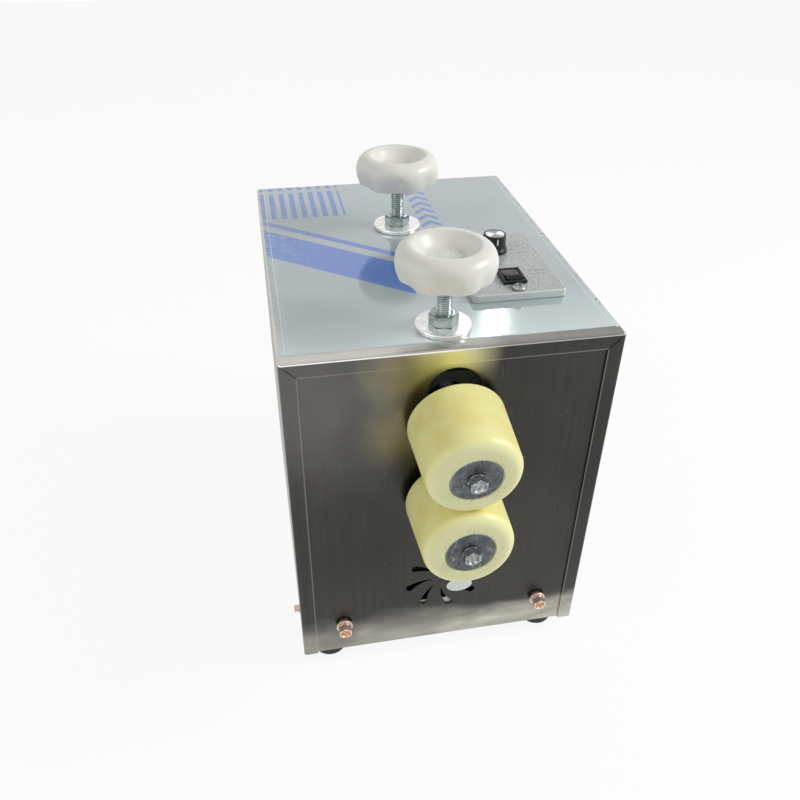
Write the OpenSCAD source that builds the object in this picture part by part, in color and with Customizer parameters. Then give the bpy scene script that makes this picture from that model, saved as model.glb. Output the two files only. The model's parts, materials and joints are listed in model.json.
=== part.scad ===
// Bench-top dumpling wrapper machine: two conical rollers driven by a gear motor in a folded steel case.
// Millimetres, +Z up, rollers towards -Y, origin on the table under the middle of the outline.

/* [Case] */
// Width of the case
case_w = 210; // [190:1:250]
// Depth of the case, front face to rear face
case_d = 277; // [260:1:320]
// Height of the case without its feet
case_h = 259; // [250:1:300]
// Thickness of the case sheet
sheet_t = 1.5; // [1:0.1:2]
// Width of the return flanges round the front and the rear
flange_w = 10.5; // [8:0.5:14]
// Clearance between the cover and what it closes over
panel_fit = 0.6; // [0.3:0.1:1]
// Height of the base tray's lips
lip_h = 40; // [36:1:50]
// Thickness of the protective film on the top
film_t = 0.25; // [0.1:0.05:0.5]
// Bare strip of steel in front of the film
film_margin = 9; // [6:0.5:14]
// Height of the case screws above the case bottom
case_screw_z = 28; // [26:0.2:32]
// Distance of the front and rear case screws from the case sides
case_screw_inset = 31; // [25:1:45]
// Distance of the side case screws from the front face
case_screw_y = 21.5; // [19:0.5:30]
// Thread diameter of the front and rear case screws
case_screw_d = 5.5; // [4:0.5:6]
// Thread diameter of the side case screws
side_screw_d = 3; // [3:0.5:5]

/* [Front panel openings] */
// Radius of the upper shaft slot's round top
slot_r = 17.6; // [16:0.2:20]
// Height of the centre of that round top above the upper shaft's axis
slot_rise = 17.8; // [15:0.2:20]
// Height of the petal vent's centre
vent_z = 61; // [55:1:66]
// Radius over the tips of the vent petals
vent_r = 28.4; // [24:0.2:32]
// Number of vent petals
vent_petals = 8; // [6:1:10]
// Width of a petal at its round end
petal_w = 6; // [4:0.5:7]

/* [Feet] */
// Height of a rubber foot
foot_h = 16.5; // [10:0.5:24]
// Diameter of a foot at the tray
foot_top_d = 31; // [26:0.5:33]
// Diameter of a foot on the table
foot_base_d = 24; // [18:0.5:25]
// Distance of a foot's centre from the case side
foot_inset_x = 21; // [18:0.5:30]
// Distance of a foot's centre from the front or rear face
foot_inset_y = 21.5; // [15:0.5:30]
// Thread diameter of a foot screw
foot_screw_d = 5; // [4:0.5:6]

/* [Rollers] */
// Diameter of a roller at its back edge
roller_d = 62; // [58:0.5:64]
// Length of a roller
roller_len = 50.5; // [40:0.5:60]
// Gap between the front face and a roller's back edge
roller_gap = 4.5; // [4:0.5:8]
// Rounding of a roller's front edge
roller_edge_r = 7; // [4:0.5:9]
// Nose-down tilt of the upper shaft, twice the half angle of each cone
nip_tilt = 5.1; // [4:0.1:5.5]
// Gap between the rollers at rest
nip_gap = 0.6; // [0.6:0.1:1]
// Diameter of a roller's end washer
end_washer_d = 31.5; // [26:0.5:36]
// Thickness of an end washer
end_washer_t = 2.5; // [2:0.1:3]
// Depth of an end washer's face below the roller's front
washer_sink = 0.5; // [0.2:0.1:1]
// Thread diameter of a roller bolt
bolt_d = 6; // [5:1:8]
// Width across flats of a roller bolt's head
bolt_af = 10; // [9:0.5:13]
// Height of a roller bolt's head
bolt_head_h = 4.5; // [3.5:0.5:6]
// Thickness of a roller bolt's spring washer
bolt_spring_t = 1.5; // [1:0.1:2.5]

/* [Shafts and bearings] */
// Diameter of the shafts inside the rollers
nose_d = 16; // [14:0.5:20]
// Diameter of the shoulders behind the rollers
shoulder_d = 24; // [22:0.5:26]
// Bore of an upper bearing
upper_brg_d = 15; // [12:0.5:15]
// Outer diameter of an upper bearing
upper_brg_od = 32; // [28:0.5:33]
// Width of an upper bearing
upper_brg_w = 9; // [8:0.5:12]
// Bore of a lower bearing
lower_brg_d = 20; // [17:0.5:20]
// Outer diameter of a lower bearing
lower_brg_od = 42; // [37:0.5:44]
// Width of a lower bearing
lower_brg_w = 12; // [10:0.5:14]
// Radial clearance of round fits
fit = 0.05; // [0.02:0.01:0.08]

/* [Stands] */
// Width of a bearing stand
stand_w = 120; // [116:1:130]
// Thickness of a bearing stand
stand_t = 16; // [15:0.5:20]
// Distance of the front adjuster behind the front face
front_line_y = 26.5; // [26:0.5:30]
// Distance of the rear adjuster behind the front face
rear_line_y = 180; // [178:0.5:182]
// Width of an upper bearing block
block_w = 56; // [48:1:58]
// Height of a block above the upper shaft's axis
block_up = 19.5; // [18.5:0.1:19.5]
// Height of a block below the upper shaft's axis
block_down = 22; // [20:0.5:23]
// Room to lift above the rear block at rest
lift_room = 5.04; // [4.2:0.02:6]
// Side clearance of a block in its window
slide_gap = 0.1; // [0.05:0.05:0.2]
// Thickness of a stand's cap
cap_t = 7; // [6:0.1:7]
// Room between a cap and the cover
cap_room = 0.5; // [0.3:0.1:0.8]
// Height of a lift spring under its block
spring_h = 14; // [10:0.5:15]
// Outer diameter of a lift spring
spring_od = 13; // [10:0.5:15]
// Wire of a lift spring
spring_wire = 1.6; // [1.2:0.1:1.8]
// Diameter of a tie rod
tie_d = 12; // [10:0.5:12]

/* [Adjusters] */
// Distance of the adjusters from the middle of the case, to the right
adjuster_x = -3; // [-5:0.5:5]
// Thread diameter of an adjusting rod
rod_d = 10; // [8:0.5:12]
// Diameter of a hand knob
knob_d = 60.5; // [50:0.5:66]
// Height of a hand knob's rim above its underside
knob_h = 20; // [18:0.1:24]
// Height of the front hand knob's underside above the top of the case
front_knob_lift = 34.4; // [30:0.2:42]
// Height of the rear hand knob's underside above the top of the case
rear_knob_lift = 35.6; // [30:0.2:42]
// Number of soft scallops round a hand knob
knob_lobes = 7; // [5:1:9]
// Width across flats of an adjuster nut
nut_af = 16; // [15:0.5:19]
// Height of an adjuster nut
nut_h = 7; // [6:0.2:10]
// Diameter of the wide washer under an adjuster nut
top_washer_d = 35; // [28:0.5:38]
// Thickness of that washer
top_washer_t = 3; // [2:0.1:4]

/* [Drive] */
// Distance of the synchronising gears' middle behind the front face
sync_y = 52; // [50:0.5:56]
// Face width of the synchronising gears
sync_face = 10; // [8:0.5:10]
// Number of teeth on each synchronising gear
sync_teeth = 22; // [20:2:24]
// Face width of the drive gear and the pinion
drive_face = 10; // [8:0.5:14]
// Number of teeth on the drive gear
drive_teeth = 52; // [48:4:56]
// Number of teeth on the pinion
pinion_teeth = 26; // [24:2:28]
// Height of the motor's axis above the case bottom
motor_z = 61; // [58:0.5:62]
// Diameter of the motor can
motor_d = 76; // [70:1:78]
// Length of the motor can
motor_len = 74; // [64:1:80]
// Width of the square gearhead
gearhead_w = 80; // [80:1:84]
// Length of the gearhead
gearhead_len = 45; // [40:1:48]
// Height of the output shaft above the motor's axis
output_rise = 10; // [8:0.5:12]
// Diameter of the output shaft
output_d = 12; // [10:0.5:14]
// Diameter of the cooling fan
fan_d = 64; // [56:1:68]
// Number of blades on the cooling fan
fan_blades = 7; // [5:1:9]
// Diameter of the run capacitor
capacitor_d = 30; // [25:1:34]
// Height of the run capacitor
capacitor_h = 52; // [40:1:60]

/* [Controls] */
// Width of the control plate
plate_w = 62.4; // [58:0.2:66]
// Length of the control plate
plate_l = 89.6; // [86:0.2:94]
// Thickness of the control plate
plate_t = 5.5; // [5:0.1:9]
// Distance of the control plate's centre line from the right side of the case
plate_inset = 51.2; // [49:0.2:53]
// Distance of the control plate's front edge behind the front face
plate_y = 50.5; // [48:0.5:51]
// Wall of the hollow control plate
plate_wall = 2; // [1.5:0.1:2.5]
// Distance of the plate screws from the plate's ends
plate_screw_in = 5.6; // [5.2:0.1:6]
// Distance of the rocker switch's centre behind the front face
switch_y = 72; // [72:0.1:76]
// Width of the rocker switch's frame
switch_w = 16; // [13:0.5:17]
// Length of the rocker switch's frame
switch_l = 20; // [18:0.5:20]
// Distance of the speed knob's axis behind the front face
dial_y = 114; // [110:0.5:116]
// Diameter of the speed knob's skirt
dial_d = 18.5; // [17:0.5:20]
// Height of the speed knob
dial_h = 12.5; // [11:0.5:20]

/* [Cable inlet] */
// Bore of the cable gland
gland_bore = 7; // [5:0.5:9]
// Thread diameter of the cable gland
gland_d = 16; // [14:0.5:20]
// Distance of the cable gland from the left side of the case
gland_inset = 35; // [29:1:45]
// Height of the cable gland above the case bottom
gland_z = 70; // [60:1:90]

/* [Hidden] */
$fn = 64;

// Overshoot of every cut
cut = 1;
// Room between a screw's shank and the sheet that it passes through
hole_room = 0.25;

// Rollers, measured towards the front along their own axis from the front face
cone_half = nip_tilt / 2;
roller_back = roller_gap;
roller_front = roller_gap + roller_len;
roller_r = roller_d / 2;
roller_back_r = 1.5;
roller_back_steps = 4;
roller_edge_steps = 8;
recess_depth = end_washer_t + washer_sink;
recess_room = 0.4;
nose_short = 1;
nose_end = roller_front - recess_depth - nose_short;
bolt_seat = roller_front - washer_sink;
bolt_top = bolt_seat + bolt_spring_t + bolt_head_h;
bolt_shank = 24;
bolt_spring_rim = 0.5;
bolt_spring_d = bolt_af + 2 * bolt_spring_rim;
// The head hangs from the top of the case: stand caps, lift room, rear block, upper axis, lower axis
stand_top = case_h - sheet_t - cap_room - cap_t;
// Height of the upper axis at the front face
upper_z = stand_top - lift_room - block_up - rear_line_y * tan(nip_tilt);
// Height of the lower axis, which leaves the two cones parallel and nip_gap apart
lower_z = upper_z - roller_r * (1 + cos(nip_tilt)) - roller_back * sin(nip_tilt)
    - (roller_back * (1 - cos(nip_tilt)) + roller_r * sin(nip_tilt)) * tan(cone_half)
    - nip_gap / cos(cone_half);
slot_top_z = upper_z + slot_rise;
function upper_axis_z(y) = upper_z + y * tan(nip_tilt);
// Place along the upper shaft, towards the front, of the point above y
function along_upper(y) = -y / cos(nip_tilt);

// Cable gland and the outline's middle, which is the origin
gland_x = gland_inset - case_w / 2;
gland_flange_t = 6;
gland_dome_l = 14;
gland_hex_rim = 3;
gland_nose_rim = 1;
gland_af = gland_d + 2 * gland_hex_rim;
gland_nose_d = gland_d - 2 * gland_nose_rim;
gland_stub = 12;
gland_nut_t = 5;
rear_most = case_d - sheet_t + gland_flange_t + gland_dome_l;
front_most = bolt_top * cos(nip_tilt) + bolt_af / 2 * sin(nip_tilt);
front_y = (front_most - rear_most) / 2;

// Panels and tray
panel_w = case_w - 2 * (sheet_t + panel_fit);
panel_h = case_h - sheet_t - panel_fit;
tray_y = 2 * sheet_t;
tray_d = case_d - 4 * sheet_t;
rear_slot_count = 5;
rear_slot_w = 60;
rear_slot_h = 4;
rear_slot_pitch = 10;
rear_slot_z = 150;
petal_inner_r = 9.5;
petal_sweep = 20;
petal_first = 10.5;
petal_steps = 5;
petal_tip_share = 0.12;
petal_swell = 1.4;
vent_hole_d = 2.5;
shoulder_room = 3;

// Combination screws of the case: flat washer, spring washer, hex head, in shares of the thread
case_screw_x = case_w / 2 - case_screw_inset;
combo_washer_d = 2.2;
combo_washer_t = 0.22;
combo_spring_d = 1.8;
combo_spring_t = 0.33;
combo_af = 1.6;
combo_head_h = 0.84;
combo_shank = 5.5;
// Collar under the front and rear case screws
collar_d = 1.6 * case_screw_d;
collar_h = 2;
// Reach of a case screw's hole behind the outer face
case_hole_reach = 5 * sheet_t;

// Feet
foot_x = case_w / 2 - foot_inset_x;
foot_ys = [foot_inset_y, case_d - foot_inset_y];
foot_screw_head_d = 9;
foot_screw_head_h = 3.4;
foot_pocket = 7;
foot_pocket_room = 1;
foot_pocket_d = foot_screw_head_d + 2 * foot_pocket_room;
foot_nut_af = 1.6 * foot_screw_d;
foot_nut_h = 0.8 * foot_screw_d;
screw_past = 1;

// Stands
line_ys = [front_line_y, rear_line_y];
front_stand_y = front_line_y - stand_t / 2;
rear_stand_y = rear_line_y - stand_t / 2;
column_x = (stand_w / 2 + block_w / 2) / 2;
tie_tap = 18;
tie_spare = 2;
tie_grip = tie_tap - tie_spare;
tie_l = rear_stand_y - front_stand_y - stand_t;
tie_edge = 10;
tie_low_drop = 31.4;
tie_high_out = 2;
tie_high_drop = 9.4;
tie_low = [stand_w / 2 - tie_edge, lower_z - tie_low_drop];
tie_high = [column_x + tie_high_out, upper_z - tie_high_drop];
tie_places = [for (side = [-1, 1], p = [tie_low, tie_high]) [side * p[0], p[1]]];
tie_screw_d = 6;
tie_head_d = 10;
tie_head_h = 6;
cap_screw_d = 6;
cap_screw_head_d = 12;
cap_screw_head_h = (cap_screw_head_d - cap_screw_d) / 2;
cap_screw_len = 22;
stand_screw_d = 6;
stand_screw_edge = 14;
stand_screw_x = stand_w / 2 - stand_screw_edge;
stand_screw_head_d = 12;
stand_screw_head_h = 4;
stand_screw_len = 20;
block_lip = 3;

// Shafts
spacer_rim = 3;
shoulder_gap = 3;
shoulder_end = shoulder_gap - front_stand_y;
shaft_past = 6;

// Lift springs
spring_turns = 4;
spring_seat = 0.05;
spring_sides = 6;
turn_rings = 8;
spring_rings = turn_rings * spring_turns;
spring_mean_r = (spring_od - spring_wire) / 2;
spring_rise = spring_h - spring_wire - 2 * spring_seat;

// Adjusters
film_top = case_h + film_t;
rod_room = 1.5;
washer_bore_room = 0.5;
rod_in_knob = 9;
knob_flat_r = 12;
knob_dish = 8;
knob_bulge_r = 13;
knob_rim_a = 65;
knob_bulge_z = knob_h - knob_bulge_r * sin(knob_rim_a);
knob_r = knob_d / 2;
nut_turn = -12;
knob_centre_r = knob_r - knob_bulge_r;
knob_rim_r = knob_centre_r + knob_bulge_r * cos(knob_rim_a);
knob_base_a = -asin(knob_bulge_z / knob_bulge_r);
knob_side_steps = 14;
knob_dish_steps = 6;
knob_dish_power = 1.2;
knob_scallop_r = 34;
knob_scallop_depth = 1.2;

// Gears: each pair runs on its real centre distance
sync_pitch_r = (upper_axis_z(sync_y) - lower_z) / 2;
output_z = motor_z + output_rise;
drive_module = 2 * (lower_z - output_z) / (drive_teeth + pinion_teeth);
// The drive gears run clear of the screw heads on the rear stand
head_clearance = 1;
drive_room = tie_head_h + head_clearance;
drive_y = rear_line_y + stand_t / 2 + drive_room;
tooth_share = 0.4;
tooth_addendum = 0.8;
tooth_dedendum = 1.25;
tooth_lean = 20;

// Motor
gearhead_y = rear_stand_y - gearhead_len;
motor_y = gearhead_y - motor_len;
gearhead_bolt_edge = 7;
gearhead_bolt_x = gearhead_w / 2 - gearhead_bolt_edge;
gearhead_bolt_d = 5;
gearhead_bolt_head_d = 8.5;
gearhead_bolt_head_h = 5;
gearhead_bolt_grip = 12;
output_boss_rim = 9;
output_boss_d = output_d + 2 * output_boss_rim;
output_boss_room = 1;
output_boss_short = 2;
output_boss_l = stand_t - output_boss_short;
output_depth = 20;
bell_l = 10;
bell_step = 12;
bell_d = motor_d - bell_step;
tail_depth = 12;
fan_hub_d = 18;
fan_t = 12;
fan_y = front_line_y - fan_t / 2;
fan_shaft_d = 8;
fan_room = 7;
fan_blade_t = 1.6;
fan_blade_pitch = 35;
capacitor_inset_x = 43;
capacitor_inset_y = 38;
capacitor_x = case_w / 2 - capacitor_inset_x;
capacitor_y = case_d - capacitor_inset_y;
capacitor_pin = 6;
capacitor_tab_t = 1;

// Controls
plate_x = case_w / 2 - plate_inset;
plate_z = film_top + plate_t;
plate_corner = 3;
plate_screw_ys = [plate_y + plate_screw_in, plate_y + plate_l - plate_screw_in];
plate_screw_d = 4;
plate_screw_head_d = 9.2;
plate_screw_head_h = 3;
plate_screw_slope = 1;
plate_screw_top_d = plate_screw_head_d - 2 * plate_screw_slope;
plate_screw_len = 6;
switch_frame_t = 2.6;
switch_lip = 1.2;
switch_depth = 24;
switch_cut_room = 0.3;
switch_body_w = switch_w - 2 * switch_lip;
switch_body_l = switch_l - 2 * switch_lip;
switch_wall = 1;
rocker_room = 0.2;
rocker_lean = 12;
rocker_pivot = 0.4;
rocker_mid = 1.8;
rocker_r = switch_body_l / 2 - switch_wall - rocker_room;
rocker_end = rocker_mid + rocker_r * tan(rocker_lean);
controller_w = 50;
controller_l = 34;
controller_h = 42;
pot_bush_d = 7;
pot_shaft_d = 6;
pot_nut_af = 10;
pot_nut_t = 2;
pot_bush_up = 3.5;
dial_gap = 0.4;
dial_skirt_h = 3;
dial_skirt_rim = 1.3;
dial_draft = 0.2;
dial_grip_d = dial_d - 2 * dial_skirt_rim;
dial_top_d = dial_grip_d - 2 * dial_draft;
dial_pocket_h = 5;
dial_pocket_room = 0.6;
dial_pocket_d = pot_nut_af / cos(30) + 2 * dial_pocket_room;
dial_roof = 3;
cap_disc_t = 0.8;
cap_disc_rim = 1.2;

function polar(r, a) = [r * cos(a), r * sin(a)];
function arc(centre, r, from, to, steps) =
    [for (i = [0:steps]) centre + polar(r, from + (to - from) * i / steps)];

// Case frame: Y from the front face backwards, Z from the case bottom
module in_case() translate([0, front_y, foot_h]) children();
// Roller frames: local Z runs out of the front along the axis, local Y is up
module on_lower() in_case() translate([0, 0, lower_z]) rotate([90, 0, 0]) children();
module on_upper() in_case() translate([0, 0, upper_z]) rotate([90 + nip_tilt, 0, 0]) children();
// Local Z runs backwards from the point [x, y, z] of the case frame
module backwards(x, y, z) translate([x, y, z]) rotate([-90, 0, 0]) children();
// Local Z runs towards the front from the point [x, y, z] of the case frame, local Y is up
module forwards(x, y, z) translate([x, y, z]) rotate([90, 0, 0]) children();
module centred_box(w, l, h) translate([-w / 2, -l / 2, 0]) cube([w, l, h]);
module hex(af, h) cylinder(d = af / cos(30), h = h, $fn = 6);
// A round cut right through a thickness h that starts at local Z = 0
module bore(d, h) translate([0, 0, -cut]) cylinder(d = d, h = h + 2 * cut);

// A spur gear's corners: two at the root and two at the tip of each tooth
function tooth_half(r, pitch_r, teeth) =
    180 / teeth * tooth_share + (pitch_r - r) / pitch_r * tan(tooth_lean) * 180 / PI;
function gear_corners(teeth, pitch_r, first) = let (
        m = 2 * pitch_r / teeth,
        root = pitch_r - tooth_dedendum * m,
        tip = pitch_r + tooth_addendum * m,
        a_root = tooth_half(root, pitch_r, teeth),
        a_tip = tooth_half(tip, pitch_r, teeth)
    ) [for (i = [0:teeth - 1], c = [[root, -a_root], [tip, -a_tip], [tip, a_tip], [root, a_root]])
        polar(c[0], first + i * 360 / teeth + c[1])];
module spur_gear(teeth, pitch_r, first, face, bore_d) difference() {
    linear_extrude(face) polygon(gear_corners(teeth, pitch_r, first));
    bore(bore_d, face);
}

// Case

module case_screw_places() {
    for (x = [-case_screw_x, case_screw_x]) {
        forwards(x, sheet_t, case_screw_z) children();
        backwards(x, case_d - sheet_t, case_screw_z) children();
    }
}
module side_screw_places() {
    for (side = [-1, 1])
        translate([side * case_w / 2, case_screw_y, case_screw_z]) rotate([0, side * 90, 0]) children();
}
module case_screw_hole(d) translate([0, 0, -case_hole_reach])
    bore(d + 2 * hole_room, case_hole_reach + sheet_t);
// A screw of thread d whose washer stands the height up above the sheet
module combination_screw(d, up) {
    translate([0, 0, -combo_shank]) cylinder(d = d, h = combo_shank + up);
    translate([0, 0, up]) cylinder(d = combo_washer_d * d, h = combo_washer_t * d);
    translate([0, 0, up + combo_washer_t * d]) cylinder(d = combo_spring_d * d, h = combo_spring_t * d);
    translate([0, 0, up + (combo_washer_t + combo_spring_t) * d]) hex(combo_af * d, combo_head_h * d);
}
module top_hole(x, y, d) translate([x, y, case_h - sheet_t]) bore(d, sheet_t + film_t);
module switch_cutout(h)
    centred_box(switch_body_w + 2 * switch_cut_room, switch_body_l + 2 * switch_cut_room, h);
module top_openings() {
    for (y = line_ys) top_hole(adjuster_x, y, rod_d + 2 * rod_room);
    for (y = plate_screw_ys) top_hole(plate_x, y, plate_screw_d + 2 * hole_room);
    top_hole(plate_x, dial_y, pot_bush_d + 2 * hole_room);
    translate([plate_x, switch_y, case_h - sheet_t - cut]) switch_cutout(sheet_t + film_t + 2 * cut);
}
module cover() color("silver") in_case() difference() {
    translate([-case_w / 2, 0, 0]) cube([case_w, case_d, case_h]);
    translate([-case_w / 2 + sheet_t, sheet_t, -cut])
        cube([case_w - 2 * sheet_t, case_d - 2 * sheet_t, case_h - sheet_t + cut]);
    translate([-case_w / 2 + flange_w, -cut, -cut])
        cube([case_w - 2 * flange_w, case_d + 2 * cut, case_h - flange_w + cut]);
    top_openings();
    side_screw_places() case_screw_hole(side_screw_d);
}
module top_film() color("lightsteelblue") in_case() difference() {
    translate([-case_w / 2 + sheet_t, film_margin, case_h])
        cube([case_w - 2 * sheet_t, case_d - film_margin - sheet_t, film_t]);
    top_openings();
}
// A vent petal: a thin inner tip that swells to a round outer end
function petal_side(u, side, from) = let (
        r = petal_inner_r + (vent_r - petal_w / 2 - petal_inner_r) * u,
        half = petal_w / 2 * (petal_tip_share + (1 - petal_tip_share) * pow(u, petal_swell))
    ) polar(r, from - petal_sweep * (1 - u) + side * half / r * 180 / PI);
function petal_corners(from) = concat(
    [for (i = [0:petal_steps]) petal_side(i / petal_steps, -1, from)],
    [for (a = [-60:30:60]) polar(vent_r - petal_w / 2, from) + polar(petal_w / 2, from + a)],
    [for (i = [petal_steps:-1:0]) petal_side(i / petal_steps, 1, from)]);
module front_panel() color("dimgray") in_case() difference() {
    translate([-panel_w / 2, sheet_t, 0]) cube([panel_w, sheet_t, panel_h]);
    for (z = [upper_z, slot_top_z]) backwards(0, sheet_t, z) bore(2 * slot_r, sheet_t);
    translate([-slot_r, sheet_t - cut, upper_z])
        cube([2 * slot_r, sheet_t + 2 * cut, slot_top_z - upper_z]);
    backwards(0, sheet_t, lower_z) bore(shoulder_d + 2 * shoulder_room, sheet_t);
    forwards(0, 2 * sheet_t + cut, vent_z) linear_extrude(sheet_t + 2 * cut) {
        for (i = [0:vent_petals - 1]) polygon(petal_corners(petal_first + i * 360 / vent_petals));
        circle(d = vent_hole_d);
    }
    case_screw_places() case_screw_hole(case_screw_d);
}
module rear_panel() color("gray") in_case() difference() {
    translate([-panel_w / 2, case_d - 2 * sheet_t, 0]) cube([panel_w, sheet_t, panel_h]);
    backwards(gland_x, case_d - 2 * sheet_t, gland_z) bore(gland_d + 2 * hole_room, sheet_t);
    for (i = [0:rear_slot_count - 1])
        translate([-rear_slot_w / 2, case_d - 2 * sheet_t - cut, rear_slot_z + i * rear_slot_pitch])
            cube([rear_slot_w, sheet_t + 2 * cut, rear_slot_h]);
    case_screw_places() case_screw_hole(case_screw_d);
}
module base_tray() color("darkgray") in_case() difference() {
    translate([-panel_w / 2, tray_y, 0]) cube([panel_w, tray_d, lip_h]);
    translate([-panel_w / 2 + sheet_t, tray_y + sheet_t, sheet_t])
        cube([panel_w - 2 * sheet_t, tray_d - 2 * sheet_t, lip_h]);
    for (x = [-foot_x, foot_x], y = foot_ys) translate([x, y, 0])
        bore(foot_screw_d + 2 * hole_room, sheet_t);
    for (x = [-stand_screw_x, stand_screw_x], y = line_ys) translate([x, y, 0])
        bore(stand_screw_d + 2 * hole_room, sheet_t);
    case_screw_places() case_screw_hole(case_screw_d);
    side_screw_places() case_screw_hole(side_screw_d);
}
module panel_screws() color("peru") in_case() case_screw_places() {
    cylinder(d = collar_d, h = collar_h);
    combination_screw(case_screw_d, collar_h);
}
module side_screws() color("peru") in_case() side_screw_places() combination_screw(side_screw_d, 0);

module foot_places() for (x = [-foot_x, foot_x], y = foot_ys) translate([x, y, -foot_h]) children();
module rubber_feet() color("black") in_case() foot_places() difference() {
    cylinder(d1 = foot_base_d, d2 = foot_top_d, h = foot_h);
    translate([0, 0, -cut]) cylinder(d = foot_pocket_d, h = foot_pocket + cut);
    bore(foot_screw_d + 2 * fit, foot_h);
}
module foot_screws() color("lightgray") in_case() foot_places() {
    translate([0, 0, foot_pocket - foot_screw_head_h])
        cylinder(d = foot_screw_head_d, h = foot_screw_head_h);
    translate([0, 0, foot_pocket])
        cylinder(d = foot_screw_d, h = foot_h - foot_pocket + sheet_t + foot_nut_h + screw_past);
}
module foot_nuts() color("lightgray") in_case() foot_places()
    translate([0, 0, foot_h + sheet_t]) difference() {
        hex(foot_nut_af, foot_nut_h);
        bore(foot_screw_d + 2 * fit, foot_nut_h);
    }
module cable_gland() color("black") in_case() backwards(gland_x, case_d - sheet_t, gland_z) difference() {
    union() {
        hex(gland_af, gland_flange_t);
        translate([0, 0, gland_flange_t]) cylinder(d1 = gland_af, d2 = gland_nose_d, h = gland_dome_l);
        translate([0, 0, -sheet_t - gland_stub]) cylinder(d = gland_d, h = sheet_t + gland_stub);
    }
    translate([0, 0, -sheet_t - gland_stub])
        bore(gland_bore, sheet_t + gland_stub + gland_flange_t + gland_dome_l);
}
module gland_nut() color("black") in_case()
    backwards(gland_x, case_d - 2 * sheet_t - gland_nut_t, gland_z) difference() {
        hex(gland_af, gland_nut_t);
        bore(gland_d + 2 * fit, gland_nut_t);
    }

// Controls

module rounded_box(w, l, h, r) {
    centred_box(w - 2 * r, l, h);
    centred_box(w, l - 2 * r, h);
    for (x = [-1, 1], y = [-1, 1]) translate([x * (w / 2 - r), y * (l / 2 - r), 0]) cylinder(r = r, h = h);
}
module control_plate() color("lightgray") in_case() difference() {
    translate([plate_x, plate_y + plate_l / 2, film_top]) difference() {
        rounded_box(plate_w, plate_l, plate_t, plate_corner);
        translate([0, 0, -cut]) rounded_box(plate_w - 2 * plate_wall, plate_l - 2 * plate_wall,
            plate_t - plate_wall + cut, plate_corner - plate_wall / 2);
    }
    for (y = plate_screw_ys) translate([plate_x, y, film_top])
        bore(plate_screw_d + 2 * hole_room, plate_t);
    translate([plate_x, dial_y, film_top]) bore(pot_bush_d + 2 * hole_room, plate_t);
    translate([plate_x, switch_y, film_top]) switch_cutout(plate_t + cut);
}
module plate_screws() color("lightgray") in_case()
    for (y = plate_screw_ys) translate([plate_x, y, plate_z]) {
        cylinder(d1 = plate_screw_head_d, d2 = plate_screw_top_d, h = plate_screw_head_h);
        translate([0, 0, case_h - sheet_t - plate_z - plate_screw_len])
            cylinder(d = plate_screw_d, h = plate_z - case_h + sheet_t + plate_screw_len);
    }
module switch_body() color("black") in_case() translate([plate_x, switch_y, plate_z]) difference() {
    union() {
        centred_box(switch_w, switch_l, switch_frame_t);
        translate([0, 0, -switch_depth]) centred_box(switch_body_w, switch_body_l, switch_depth);
    }
    translate([0, 0, rocker_pivot - rocker_r - rocker_room])
        centred_box(switch_body_w - 2 * switch_wall, switch_body_l - 2 * switch_wall, switch_l);
}
// The rocker is stored leaning to its off side
module rocker() color("black") in_case() translate([plate_x, switch_y, plate_z + rocker_pivot])
    rotate([-rocker_lean, 0, 0]) rotate([90, 0, 90])
    translate([0, 0, -switch_body_w / 2 + switch_wall + rocker_room])
    linear_extrude(switch_body_w - 2 * switch_wall - 2 * rocker_room) intersection() {
        circle(r = rocker_r);
        polygon([[0, rocker_mid], [rocker_r, rocker_end], [rocker_r, -rocker_r], [-rocker_r, -rocker_r],
            [-rocker_r, rocker_end]]);
    }
module speed_controller() color("darkgreen") in_case()
    translate([plate_x, dial_y, case_h - sheet_t - controller_h])
        centred_box(controller_w, controller_l, controller_h);
module speed_pot() color("silver") in_case() translate([plate_x, dial_y, 0]) {
    translate([0, 0, case_h - sheet_t])
        cylinder(d = pot_bush_d, h = plate_z + pot_bush_up - case_h + sheet_t);
    translate([0, 0, plate_z]) hex(pot_nut_af, pot_nut_t);
    translate([0, 0, plate_z]) cylinder(d = pot_shaft_d, h = dial_h + dial_gap - dial_roof);
}
module speed_knob() color("black") in_case() translate([plate_x, dial_y, plate_z + dial_gap]) difference() {
    union() {
        cylinder(d = dial_d, h = dial_skirt_h);
        translate([0, 0, dial_skirt_h])
            cylinder(d1 = dial_grip_d, d2 = dial_top_d, h = dial_h - dial_skirt_h);
    }
    translate([0, 0, -cut]) cylinder(d = pot_shaft_d + 2 * fit, h = dial_h - dial_roof + fit + cut);
    translate([0, 0, -cut]) cylinder(d = dial_pocket_d, h = dial_pocket_h + cut);
    translate([0, 0, dial_h - cap_disc_t]) cylinder(d = dial_top_d - 2 * cap_disc_rim, h = cap_disc_t + cut);
}
module knob_cap() color("silver") in_case()
    translate([plate_x, dial_y, plate_z + dial_gap + dial_h - cap_disc_t])
        cylinder(d = dial_top_d - 2 * cap_disc_rim - 2 * fit, h = cap_disc_t);

// Adjusters

module top_washers() color("silver") in_case()
    for (y = line_ys) translate([adjuster_x, y, film_top]) difference() {
        cylinder(d = top_washer_d, h = top_washer_t);
        bore(rod_d + 2 * washer_bore_room, top_washer_t);
    }
module lock_nuts() color("silver") in_case()
    for (y = line_ys) translate([adjuster_x, y, film_top + top_washer_t]) difference() {
        rotate(nut_turn) hex(nut_af, nut_h);
        bore(rod_d + 2 * fit, nut_h);
    }
// A rod stands on the bearing block's top and ends inside the knob
module adjusting_rod(y, lift) in_case() let (foot = upper_axis_z(y) + block_up)
    translate([adjuster_x, y, foot]) cylinder(d = rod_d, h = case_h + lift + rod_in_knob - foot);
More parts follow.
